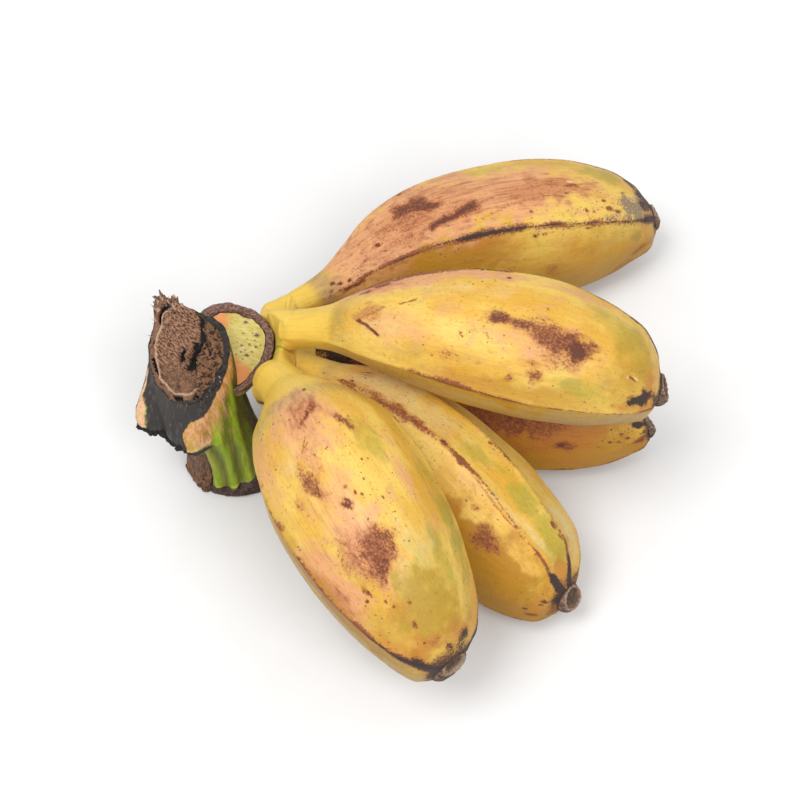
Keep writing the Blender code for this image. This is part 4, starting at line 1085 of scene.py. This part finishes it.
stalk = dict(
    at=(0.0, 0.10, 0.28, 0.46, 0.60, 0.78, 0.92, 1.0),
    x=(-53.2, -53.6, -55.0, -57.2, -60.6, -63.2, -64.3, -64.6),
    y=(-9.5, -9.5, -9.5, -8.5, -6.5, -3.5, -1.5, -0.5), z=(0.0, 5.0, 13.0, 22.0, 30.0, 40.0, 47.5, 51.5),
    tilt=(0.0, 0.03, 0.10, 0.20, 0.40, 0.75, 1.0, 1.0),
    halfX=(15.3, 14.9, 13.0, 12.4, 12.8, 13.2, 13.6, 13.1),
    halfY=(10.5, 10.0, 9.5, 11.0, 13.6, 16.5, 18.2, 18.2), cutNormal=(-0.15, -0.45, 0.88), rows=170,
    cutRows=100, columns=350, flapFrom=0.565, flap=(9.5, 193.0, 17.0), lip=(3.2, 243.0, 30.0),
    tuft=(4.2, 121.0, 14.0, 2.5), worn=(6.0, 78.0, 36.0), ribs=(12, 0.45), ribTwist=34,
    charcoalFrom=(
        (100, 1.0), (125, 0.565), (250, 0.565), (257, 0.76), (268, 0.87), (278, 0.88), (293, 0.93),
        (303, 0.97), (320, 1.0)),
    stripTo=((0.06, 228), (0.2, 236), (0.32, 240), (0.58, 258)),
    corkTo=((0, 0.12), (200, 0.08), (265, 0.085), (300, 0.14), (315, 0.16), (360, 0.12)),
    fold=((-20, 1), (-3, 1.4), (0.2, 2.9), (2.6, 4.8), (5.5, 4.9), (9.4, 4.0), (14, 2.5), (20, 0)),
    pits=((1.3, -3.6, 1.0, 2.8, 2.6), (-1.4, -1.4, 0.8, 2.2, 2.4), (2.4, 0.6, 0.6, 2.2, 1.8)),
    lipAt=(
        (90, 0.68), (135, 0.72), (150, 0.78), (180, 0.80), (210, 0.80), (225, 0.83), (240, 0.85),
        (255, 0.84), (270, 0.80), (300, 0.76)),
    burntFrom=(
        (0, 0.85), (30, 0.83), (60, 0.86), (75, 1.02), (120, 1.02), (140, 0.975), (255, 0.97), (270, 0.905),
        (285, 0.93), (300, 0.86), (315, 0.80), (330, 0.86), (345, 0.87), (360, 0.85)),
    dome=((0, -1.0), (0.25, -1.0), (0.5, -0.5), (0.76, 0.0), (0.9, 0.5), (1, 0.0)),
    crustSpan=(183, 192, 256, 268), lipSpan=(100, 130, 275, 300), orangeSpan=(248, 254, 300, 338),
    underRimSpan=(300, 310, 350, 359), tongue=(273, 13), tongueLip=((267, 14), (0.592, 0.024)),
    peachPatches=((199, 6, (0.595, 0.63, 0.74, 0.84)), (195, 3, (0.72, 0.76, 0.93, 0.97))), skinSunk=0.35,
    lipHigh=0.9, ditchDeep=2.0, leftHigh=1.2, foldDeep=1.8, grainAlong=(0.76316, 0.64912),
    charcoal=paint(46, 41, 39), ash=paint(108, 98, 92), crust=paint(26, 22, 22), fibre=paint(200, 148, 114),
    fibreDark=paint(50, 28, 20), coarse=paint(194, 140, 98), paleLip=paint(228, 190, 162),
    ring=paint(158, 112, 86), green=paint(170, 206, 26), greenPale=paint(210, 220, 76),
    olive=paint(84, 80, 14), orange=paint(242, 172, 88), peach=paint(252, 204, 160),
    salmon=paint(228, 146, 104), cork=paint(112, 88, 78), corkDark=paint(58, 44, 42), depth=0.45,
    grains=dict(
        streaks=("place", (1, 1, 0.14), 0.8, 5.0, 0.7), clouds=("place", everyWay, 0.3, 4.0, 0.65),
        grain=("place", everyWay, 1.3, 5.0, 0.75), fuzz=("cutPlace", everyWay, 2.0, 4.0, 0.8, 0.4),
        blocks=("cutPlace", everyWay, 0.7, 4.0, 0.75, 0.8)),
    blends=dict(
        skin=("green", "greenPale", "streaks", 0.4, 0.62, 1.0),
        burnished=("orange", "salmon", "grain", 0.4, 0.65, 1.0),
        peachy=("peach", "salmon", "grain", 0.5, 0.7, 1.0),
        corky=("corkDark", "cork", "grain", 0.4, 0.6, 1.0),
        charred=("charcoal", "ash", "streaks", 0.5, 0.72, 0.75),
        fine=("fibreDark", "fibre", "fuzz", 0.40, 0.60, 1.0),
        coarse=("fibreDark", "coarse", "blocks", 0.44, 0.54, 1.0)),
    veils=dict(
        peachStreaks=("peach", "streaks", 0.46, 0.6, 0.7), corkFlecks=("cork", "fuzz", 0.52, 0.66, 0.45),
        darkFuzz=("fibreDark", "fuzz", 0.36, 0.5, 0.4)),
    coats=dict(
        green=(None, "clouds", 0.8, 0.1, 0.9, 1.0), olive=("olive", "streaks", 1.4, 0.2, 1.1, 1.0),
        orange=(None, "streaks", 2.8, 0.1, 1.2, 1.0), peach=(None, "streaks", 1.6, 0.2, 1.0, 1.0),
        cork=(None, "grain", 0.8, 0.3, 0.75, 1.0), charcoal=(None, "grain", 0.9, 0.3, 0.7, 1.0),
        ring=("ring", "fuzz", 0.8, 0.2, 0.8, 0.7), paleLip=("paleLip", "fuzz", 1.6, 0.3, 0.95, 1.0),
        crust=("crust", "grain", 1.0, 0.4, 0.75, 1.0)))


def stalkRings(shares, angles):
    # ellipses that lean over to the cut, with the flap, lip, torn corner, worn side and ribs added to
    # their reach
    centres = np.stack([easedCurve(stalk["at"], stalk[axis], shares) for axis in "xyz"], axis=1)
    tilt = easedCurve(stalk["at"], stalk["tilt"], shares)[:, None]
    normals = unit((1 - tilt) * np.array([0, 0, 1.0]) + tilt * unit(np.array(stalk["cutNormal"])))
    right, upslope = tiltedAxes(normals)
    halfX = easedCurve(stalk["at"], stalk["halfX"], shares)[:, None]
    halfY = easedCurve(stalk["at"], stalk["halfY"], shares)[:, None]
    cosine, sine = np.cos(np.radians(angles))[None], np.sin(np.radians(angles))[None]
    reach = 1 / np.sqrt((cosine / halfX) ** 2 + (sine / halfY) ** 2)
    share = shares[:, None]
    above = share - stalk["flapFrom"]
    flap, lip, tuft, worn = stalk["flap"], stalk["lip"], stalk["tuft"], stalk["worn"]
    spread = flap[0] * bump(turnBetween(angles, flap[1]), flap[2])
    spread += lip[0] * bump(turnBetween(angles, lip[1]), lip[2])
    reach = reach + spread * window(above, -0.01, 0.03, 0.02, 0.42)
    corner = bump(turnBetween(angles, tuft[1]), tuft[2])[None]
    reach = reach + tuft[0] * tilt * corner - worn[0] * tilt**3 * bump(turnBetween(angles, worn[1]), worn[2])
    count, high = stalk["ribs"]
    ribs = np.cos(np.radians(count * (angles[None] - stalk["ribTwist"] * share)))
    reach = reach + high * window(share, 0, 0.1, 0.6, 0.9) * ribs
    rise = tuft[3] * corner * smoothStep(0.9, 1.0, share)
    return ringPoints(centres, right, upslope, reach * cosine, reach * sine) + rise[..., None] * normals[:, None]


def makeStalkLook():
    look = Look("stalk", stalk)
    grain = look.grain
    charcoal, fibre, crust, green = look.masks("paintOne")
    orange, peach, olive, paleLip = look.masks("paintTwo")
    rough, ribs, cork, ring = look.masks("paintThree")

    # darker olive in the grooves between the ribs
    colour = look.mix(look.times(ribs, 0.75), look.blend("skin"), stalk["olive"])
    shaded = look.mix(look.span(grain["clouds"], 0.4, 0.6), stalk["olive"], colour)
    colour = look.coat(shaded, "green", green, colour)
    # olive: partly the column's own colour, partly painted shade on its right side
    colour = look.coat(colour, "olive", olive)
    burnished = look.veil(look.veil(look.blend("burnished"), "peachStreaks"), "corkFlecks")
    colour = look.coat(colour, "orange", orange, burnished)
    colour = look.coat(colour, "peach", peach, look.blend("peachy"))
    colour = look.coat(colour, "cork", cork, look.blend("corky"))
    colour = look.coat(colour, "charcoal", charcoal, look.blend("charred"))
    fibres = look.mix(rough, look.blend("fine"), look.veil(look.blend("coarse"), "darkFuzz"))
    fibres = look.coat(fibres, "ring", ring)
    colour = look.mix(look.span(fibre, 0.3, 0.7), colour, fibres)
    colour = look.coat(colour, "paleLip", paleLip)
    colour = look.coat(colour, "crust", crust)

    roughness = look.span(look.most(green, olive), 0.2, 0.8, 0.85, 0.42)
    wool = look.total((grain["fuzz"], 1.0), (look.times(grain["blocks"], rough), 1.0))
    wool = look.times(wool, look.span(fibre, 0.2, 0.8, 0.2, 1.7))
    return look.finish(colour, roughness, look.total((wool, 1.0), (grain["streaks"], 0.7), (grain["grain"], 0.6)))


def stalkSide(shares, angles):
    # the skin, moved out along its own rings by its relief, and its masks
    skin = stalkRings(shares, angles)
    share, angle = shares[:, None], angles[None]
    axis = np.stack([easedCurve(stalk["at"], stalk[k], shares) for k in "xyz"], axis=1)[:, None]
    outward = unit((skin - axis) * [1, 1, 0.4])
    shake = cloudNoise(skin, 4.0, 35, 3)
    toFlap = share - stalk["flapFrom"] + 0.012 * shake
    lower = 1 - smoothStep(-0.02, 0.0, toFlap)
    crustWide = 0.022 + 0.014 * smoothStep(240, 215, angle) + 0.01 * shake
    crust = bump(toFlap - 0.02, crustWide) * window(angle, *stalk["crustSpan"])
    toStrip = angle + 3 * shake - np.interp(share, *zip(*stalk["stripTo"]))
    strip = smoothStep(0, -3, toStrip) * smoothStep(140, 165, angle) * lower
    stripEdge = bump(toStrip, 2.5) * lower
    cork = smoothStep(0.012, -0.012, share + 0.01 * shake - np.interp(angle, *zip(*stalk["corkTo"])))
    toChar = share + 0.015 * shake - np.interp(angle, *zip(*stalk["charcoalFrom"]))
    tongueAt, tongueWide = stalk["tongue"]
    tongue = bump(turnBetween(angle, tongueAt), tongueWide) * smoothStep(0.60, 0.64, share)
    (lipAt, lipWide), (lipShare, lipThick) = stalk["tongueLip"]
    tongueLip = bump(turnBetween(angle, lipAt), lipWide) * bump(share - lipShare, lipThick)
    relief = 0.30 * cloudNoise(skin * [1, 1, 0.15], 2.4, 31, 3) * smoothStep(0.05, 0.2, share)
    relief += crust * (0.5 + 1.2 * cloudNoise(skin, 2.0, 32, 3)) + 0.9 * tongueLip
    relief += 0.6 * strip * cloudNoise(skin * [1, 1, 0.15], 1.8, 33, 3) - 0.7 * stripEdge
    relief += cork * (0.5 + 0.9 * cloudNoise(skin, 2.4, 34, 3)) * smoothStep(0.0, 0.02, share)
    relief += 0.35 * smoothStep(0, 0.05, toChar) * cloudNoise(skin * [1, 1, 0.3], 3.0, 36, 3)
    skin = skin + outward * (relief - stalk["skinSunk"])[..., None]

    peachPatch = np.maximum.reduce([bump(turnBetween(angle, at), wide) * window(share, *span)
                                    for at, wide, span in stalk["peachPatches"]])
    charcoal = np.maximum(smoothStep(-0.03, 0.03, toChar), smoothStep(0.982, 0.992, share)) * (1 - peachPatch)
    charcoal = np.maximum(charcoal, 1.2 * tongueLip)
    green = smoothStep(0.05, 0.12, share) * (0.5 + 0.5 * bump(turnBetween(angle, 285), 50))
    orange = window(angle, *stalk["orangeSpan"]) * smoothStep(-0.36, -0.10, toChar)
    underRim = window(angle, *stalk["underRimSpan"]) * smoothStep(-0.2, -0.05, toChar)
    orange = np.maximum.reduce([orange, tongue, underRim])
    peach = np.maximum(peachPatch * 1.2, 0.8 * tongue * smoothStep(0.70, 0.64, share))
    # olive from angle 318 on the column's right is partly its own colour and partly painted shade
    olive = np.maximum(smoothStep(318, 350, angle), smoothStep(100, 60, angle)) * smoothStep(0.05, 0.2, share)
    olive = np.maximum(olive, 0.8 * bump(turnBetween(angle, 276), 5) * bump(share - 0.73, 0.06))
    crust = np.maximum(crust * 1.25, 0.9 * stripEdge * smoothStep(0.03, 0.08, share))
    ribs = 0.5 - 0.5 * np.cos(np.radians(stalk["ribs"][0] * (angle - stalk["ribTwist"] * share)))
    return skin, dict(paintOne=fourMasks(charcoal, strip, crust, green), paintTwo=fourMasks(orange, peach, olive),
                      paintThree=fourMasks(0.3, ribs, cork), cutPlace=skin * [1, 1, 0.22])


def stalkCut(rim, angle, centre, normal):
    # rings drawn in from the rim to the centre and raised by the lip, the lobes, the fold, the pits and
    # the burr
    right, upslope = tiltedAxes(normal)
    inward = 1 - np.linspace(0, 1, stalk["cutRows"] + 1)[1:, None] * 0.985
    cut = centre + (rim - centre)[None] * inward[..., None]
    x, y = (cut - centre) @ right, (cut - centre) @ upslope
    flat = np.stack([x, y, 0 * x], axis=-1)
    shaken = inward + 0.02 * cloudNoise(flat, 3.0, 45, 3)
    dome = easedCurve(*zip(*stalk["dome"]), np.broadcast_to(inward, x.shape))
    lipSide = window(angle, *stalk["lipSpan"])
    toLip = shaken - np.interp(angle, *zip(*stalk["lipAt"]))
    lipRing = lipSide * bump(toLip, 0.04)
    ditch = lipSide * window(toLip, 0.03, 0.06, 0.1, 0.14) * smoothStep(-0.2, 0.3, cloudNoise(flat, 2.6, 41, 2))
    burnt = smoothStep(-0.015, 0.015, shaken - np.interp(angle, *zip(*stalk["burntFrom"])))
    toFold = x - np.interp(y, *zip(*stalk["fold"]))
    leftLobe = smoothStep(0.6, -0.4, toFold) * smoothStep(-7, 1, y) * smoothStep(0.8, 0.62, inward)
    foldWide = np.maximum(0.6 + 0.5 * bump(y - 1, 4) + 0.5 * cloudNoise(flat, 1.6, 47, 2), 0.3)
    fold = bump(toFold + 0.6 * cloudNoise(flat, 2.0, 46, 2), foldWide) * window(y, -5, -1, 10, 14)
    pit, deep = np.zeros_like(x), np.zeros_like(x)
    for pitX, pitY, halfX, halfY, depth in stalk["pits"]:
        acrossPit = x - pitX - 0.25 * (y - pitY) + 0.9 * cloudNoise(flat, 1.8, 48, 3)
        hole = np.exp(-((acrossPit / halfX) ** 2 + ((y - pitY) / halfY) ** 2) ** 1.3)
        pit, deep = np.maximum(pit, hole), np.maximum(deep, depth * hole)
    rough = np.maximum(smoothStep(-0.5, 1.5, toFold), 0.5 * smoothStep(-2, -7, y))
    blocks = smoothStep(-0.25, 0.25, cloudNoise(flat, 2.0, 44, 2)) - 0.5
    height = dome + stalk["lipHigh"] * lipRing - stalk["ditchDeep"] * ditch + stalk["leftHigh"] * leftLobe
    height -= deep + stalk["foldDeep"] * fold
    height += 0.20 * cloudNoise(flat, 0.9, 42, 3) + 0.35 * cloudNoise(flat, 2.4, 43, 3)
    height += 0.9 * rough * blocks * (1 - burnt) + burnt * (0.7 * cloudNoise(flat, 1.6, 49, 3) - 0.25)

    # the ditch, the pits and the fold go darker: this mask goes into the crust channel and takes its near-black
    # paint
    dark = np.maximum.reduce([ditch * 1.2, pit * 1.3, fold])
    ring = lipSide * smoothStep(0.02, 0.06, toLip)
    along, beside = stalk["grainAlong"]
    drawn = np.stack([(along * x - beside * y) * (0.4 + 0.6 * rough), beside * x + along * y, 0 * x], axis=-1)
    return cut + normal * height[..., None], dict(
        paintOne=fourMasks(burnt, 1 - burnt, dark), paintTwo=fourMasks(0.0, 0.0, 0.0, lipRing * 0.85),
        paintThree=fourMasks(rough, 0.0, 0.0, ring), cutPlace=drawn)


def makeStalk():
    shares = np.linspace(0, 1, stalk["rows"])
    angles = np.arange(stalk["columns"]) * 360 / stalk["columns"]
    skin, skinMasks = stalkSide(shares, angles)
    centre, normal = skin[-1].mean(axis=0), unit(np.array(stalk["cutNormal"]))
    cut, cutMasks = stalkCut(skin[-1], angles[None], centre, normal)
    points = np.concatenate([skin, cut])
    points[..., 2] = np.maximum(points[..., 2], 0.0)
    masks = {key: np.concatenate([skinMasks[key], cutMasks[key]]) for key in skinMasks} | {"place": points}
    makeGridPiece("stalk_column", points, masks, stalkMaterial, "stalk", "stem")
    return skin, centre, normal


stalkMaterial = makeStalkLook()
stalkSkin, cutCentre, cutNormal = makeStalk()

# The corky scar beside the column

def makeScarLook():
    look = Look("scar", scar)
    cork, orange, specks, line = look.masks("paintOne")
    cutFace = look.masks("paintTwo")[0]
    colour = look.mix(cutFace, look.veil(look.blend("flank"), "weathered"), look.blend("face"))
    colour = look.coat(colour, "orange", orange)
    colour = look.coat(colour, "specks", specks)
    colour = look.coat(colour, "cork", cork, look.blend("cork"))
    colour = look.coat(colour, "line", line)
    pimpled = look.times(look.grain["pimples"], look.span(cork, 0.2, 0.8, 0.25, 1.3))
    height = look.total((pimpled, 1.0), (look.grain["lines"], 0.4))
    return look.finish(colour, look.span(cork, 0.2, 0.8, 0.5, 0.85), height)


def makeScar():
    # rings: centre + share * reach(angle) * outward + height * normal, with share and height eased along
    angles = np.arange(scar["columns"]) * 360 / scar["columns"]
    t = np.linspace(0, len(scar["profile"]) - 1, scar["rows"])
    outs, ups = zip(*scar["profile"])
    share, height = (easedCurve(range(len(outs)), values, t)[:, None] for values in (outs, ups))
    widened = window(t, 4.5, 7.0, 7.2, 9.0)[:, None] * bump(turnBetween(angles, -20), 75)[None]
    share = share - scar["ringWide"] * widened
    normal = unit(np.array(scar["normal"]))
    right, upslope = tiltedAxes(normal)
    turned = np.radians(angles)[:, None]
    outline = scarReach(angles)[:, None] * (np.cos(turned) * right + np.sin(turned) * upslope)
    points = np.array(scar["centre"]) + share[..., None] * outline[None] + height[..., None] * normal
    x, y = (points - np.array(scar["centre"])) @ right, (points - np.array(scar["centre"])) @ upslope

    corkWide = (0.75 + 0.4 * bump(turnBetween(angles, -15), 70) + 0.5 * bump(turnBetween(angles, 115), 55))[None]
    shaken = t[:, None] + 0.35 * cloudNoise(points, 3.0, 55, 3)
    cutFace = smoothStep(6.7, 6.95, shaken)
    cork = smoothStep(6.9 - 3.2 * corkWide, 7.2 - 3.2 * corkWide, shaken) * (1 - cutFace)
    relief = 0.45 * cork * cloudNoise(points, 1.7, 51, 3) + 0.14 * cloudNoise(points * [0.3, 1, 1], 1.5, 52, 2)
    relief += 0.35 * cork * cloudNoise(points, 5.0, 53, 2) - 0.25
    flankRelief = (0.5 * cloudNoise(points, 7.0, 56, 3) - 0.4) * smoothStep(3.4, 2.0, t)[:, None]
    leftMargin = smoothStep(-1.6, -4.4, x + 0.45 * np.maximum(y - 2, 0))
    orange = cutFace * np.maximum(smoothStep(0.0, -7.5, y + 0.6 * x), 0.9 * leftMargin)
    for bumpX, bumpY, size, rise in scar["bumps"]:
        swell = bump(np.hypot(x - bumpX, y - bumpY), size)
        relief += rise * swell * cutFace
        orange = np.maximum(orange, (rise > 1) * swell * cutFace)
    outward = 0.4 * cork * cloudNoise(points, 2.4, 54, 2) + flankRelief - 0.1
    specks = np.maximum.reduce([bump(np.hypot(x - speckX, (y - speckY) * 1.4), size)
                                for speckX, speckY, size in scar["specks"]])
    points = points + normal * relief[..., None] + unit(outline)[None] * outward[..., None]
    masks = {"place": points, "paintOne": fourMasks(cork, orange, specks * cutFace, bump(shaken - 6.75, 0.16)),
             "paintTwo": fourMasks(cutFace)}
    makeGridPiece("stalk_scar", points, masks, makeScarLook(), "stalk", "stem")


makeScar()

# Splinters and fibres on the torn corner, and crumbs on the burnt edge
# `lean` is how far they follow the way out, the cut's normal and chance, and `along` and `edge` are where
# on the
# stalk's rings they grow.

strands = dict(
    splinters=26, splinterLength=(1.6, 3.4), splinterRadius=0.6, fibres=110, fibreLength=(0.8, 1.8),
    fibreRadius=0.13, corner=(120, 8), rim=(100, 320), onCorner=0.4, cornerShare=(0.84, 0.98),
    rimShare=(0.93, 1.0), lean=(0.9, 0.45, 0.22), sunk=0.9, steps=8, sides=6)
crumbs = dict(count=130, size=(0.3, 0.8), rows=7, columns=9, pole=0.25, edge=(0.565, 0.615),
              along=(186, 208, 262))


def looseMasks(points, *first, paleLip=0.0):
    # strands and crumbs have the stalk's masks, the same all over each of them
    none = np.zeros(len(points))
    return {"place": points, "cutPlace": points, "paintOne": fourMasks(none + first[0], *first[1:]),
            "paintTwo": fourMasks(none, 0.0, 0.0, paleLip), "paintThree": fourMasks(none)}


def makeStrands():
    # each strand is a bent line that leaves the cut's rim, carried by rings that taper to its tip
    rng = np.random.RandomState(8)
    count, steps, sides = strands["splinters"] + strands["fibres"], strands["steps"], strands["sides"]
    rim = stalkSkin[-1]
    isThick = np.arange(count) < strands["splinters"]
    onCorner = isThick | (rng.rand(count) < strands["onCorner"])
    angles = np.where(onCorner, rng.normal(*strands["corner"], count), rng.uniform(*strands["rim"], count))
    roots = rim[(angles / 360 * len(rim)).astype(int) % len(rim)]
    cornerShares = rng.uniform(*strands["cornerShare"], count)
    inShare = np.where(onCorner, cornerShares, rng.uniform(*strands["rimShare"], count))
    roots = cutCentre + (roots - cutCentre) * inShare[:, None]
    splinterLengths = rng.uniform(*strands["splinterLength"], count)
    lengths = np.where(isThick, splinterLengths, rng.uniform(*strands["fibreLength"], count))
    outShare, upShare, chance = strands["lean"]
    lean = unit(outShare * unit(roots - cutCentre) + cutNormal * upShare + rng.normal(0, chance, (count, 3)))
    bend = rng.normal(0, 0.3, (count, 3)) * np.where(isThick, 0.5, 1.0)[:, None]
    t = np.linspace(0, 1, steps)[None, :, None]
    paths = roots[:, None] - lean[:, None] * strands["sunk"]
    paths = paths + lengths[:, None, None] * (lean[:, None] * t + bend[:, None] * t**2)
    ahead = unit(np.gradient(paths, axis=1))
    side = unit(np.cross(ahead, np.array([0.3, 0.5, 0.8])))
    up = np.cross(side, ahead)
    turned = np.arange(sides) * 2 * math.pi / sides
    radius = np.where(isThick, strands["splinterRadius"], strands["fibreRadius"]) * rng.uniform(0.6, 1.4, count)
    flattened = 1 + 0.3 * rng.normal(0, 1, (count, 1, sides)) * isThick[:, None, None]
    radius = radius[:, None, None] * (1.0 - 0.8 * t**2) * flattened
    spokes = np.cos(turned)[:, None] * side[:, :, None] + np.sin(turned)[:, None] * up[:, :, None]
    points = (paths[:, :, None] + radius[..., None] * spokes).reshape(-1, 3)
    shade = np.repeat(rng.rand(count), steps * sides)
    masks = looseMasks(points, 0.0, 1.0, 0.8 * (shade < 0.12), paleLip=0.8 * (shade > 0.7))
    makePiece("stalk_strands", points, looseFaces(count, steps, sides), masks, stalkMaterial, "stalk", "stem")


def makeCrumbs():
    # small lumpy balls along the flap's burnt edge: root + size * (1 + lumps) * direction
    rng = np.random.RandomState(9)
    count, rows, columns = crumbs["count"], crumbs["rows"], crumbs["columns"]
    atRow = (rng.uniform(*crumbs["edge"], count) * (len(stalkSkin) - 1)).astype(int)
    atColumn = (rng.triangular(*crumbs["along"], count) / 360 * stalkSkin.shape[1]).astype(int)
    down = np.linspace(crumbs["pole"], math.pi - crumbs["pole"], rows)[:, None]
    ball = ballDirections(down, np.arange(columns)[None] * 2 * math.pi / columns)[..., [1, 2, 0]]
    sizes = rng.uniform(*crumbs["size"], count)[:, None, None, None] * rng.uniform(0.7, 1.3, (count, 1, 1, 3))
    points = stalkSkin[atRow, atColumn][:, None, None] + sizes * ball[None]
    points = points + 0.3 * sizes * ball[None] * cloudNoise(points, 0.9, 81, 2)[..., None]
    points = points.reshape(-1, 3)
    masks = looseMasks(points, 1.0, 0.0, 1.0)
    makePiece("stalk_crumbs", points, looseFaces(count, rows, columns), masks, stalkMaterial, "stalk", "stem")


makeStrands()
makeCrumbs()

# Floor, lights and camera

studio = dict(
    target=(-4.36, 1.85, 25.0), distance=600.0, elevation=52.0, lens=85.0, sensor=36.0, clip=0.01,
    floorSize=6.0, floorDrop=0.0001, floorPaints=(paint(247, 247, 247), paint(249, 249, 249)),
    floorLook=dict(depth=0.01), skyLight=0.78, groundLight=(0.24, 0.18, 0.09), horizon=(-0.15, 0.25),
    lightTarget=(0, 0, 0.03),
    lights=dict(key=((-0.7, -0.5, 1.6), 1.0, 15.5), fill=((0.5, -1.1, 1.25), 1.0, 13.5)))


def aimAt(item, place, target):
    item.location = place
    item.rotation_euler = (Vector(target) - Vector(place)).to_track_quat("-Z", "Y").to_euler()


def makeFloor():
    look = Look("floor", studio["floorLook"])
    speckle = look.noise(look.add("TexCoord", {}).outputs["Object"], 40.0, 2.0)
    material = look.finish(look.mix(look.span(speckle, 0.3, 0.7), *studio["floorPaints"]), 0.8, speckle)
    half, level = studio["floorSize"] / 2, -studio["floorDrop"]
    corners = [(x * half, y * half, level) for x, y in ((-1, -1), (1, -1), (1, 1), (-1, 1))]
    mesh = bpy.data.meshes.new("floor")
    mesh.from_pydata(corners, [], [(0, 1, 2, 3)])
    mesh.materials.append(material)
    floor = bpy.data.objects.new("floor", mesh)
    bpy.context.scene.collection.objects.link(floor)
    floor.visible_diffuse = False


def makeLight(name, place, size, power):
    light = bpy.data.lights.new(name, "AREA")
    light.shape, light.size, light.energy = "DISK", size, power
    lamp = bpy.data.objects.new(name, light)
    bpy.context.scene.collection.objects.link(lamp)
    aimAt(lamp, place, studio["lightTarget"])


def makeWorld():
    # white from above and a dim warm tone from below
    world = bpy.data.worlds.new("studio")
    world.use_nodes = True
    tree, sky = world.node_tree, studio["skyLight"]
    direction = tree.nodes.new("ShaderNodeTexCoord")
    height = tree.nodes.new("ShaderNodeSeparateXYZ")
    sharpen = tree.nodes.new("ShaderNodeMapRange")
    blend = tree.nodes.new("ShaderNodeMix")
    blend.data_type = "RGBA"
    blend.inputs[6].default_value = (*studio["groundLight"], 1)
    blend.inputs[7].default_value = (sky, sky, sky, 1)
    sharpen.inputs["From Min"].default_value, sharpen.inputs["From Max"].default_value = studio["horizon"]
    tree.links.new(direction.outputs["Generated"], height.inputs[0])
    tree.links.new(height.outputs["Z"], sharpen.inputs["Value"])
    tree.links.new(sharpen.outputs[0], blend.inputs[0])
    tree.links.new(blend.outputs[2], tree.nodes["Background"].inputs["Color"])
    bpy.context.scene.world = world


def makeCamera():
    camera = bpy.data.cameras.new("camera")
    camera.lens, camera.sensor_width, camera.clip_start = studio["lens"], studio["sensor"], studio["clip"]
    eye = bpy.data.objects.new("camera", camera)
    bpy.context.scene.collection.objects.link(eye)
    lift = math.radians(studio["elevation"])
    target = np.array(studio["target"]) * mm
    aimAt(eye, target + studio["distance"] * mm * np.array([0, -math.cos(lift), math.sin(lift)]), target)
    bpy.context.scene.camera = eye


makeFloor()
for lightName, (lightPlace, lightSize, lightPower) in studio["lights"].items():
    makeLight(lightName, lightPlace, lightSize, lightPower)
makeWorld()
makeCamera()
bpy.context.scene.view_settings.view_transform = "Standard"
bpy.context.scene.view_settings.look = "None"
print("floor, lights, world and camera")
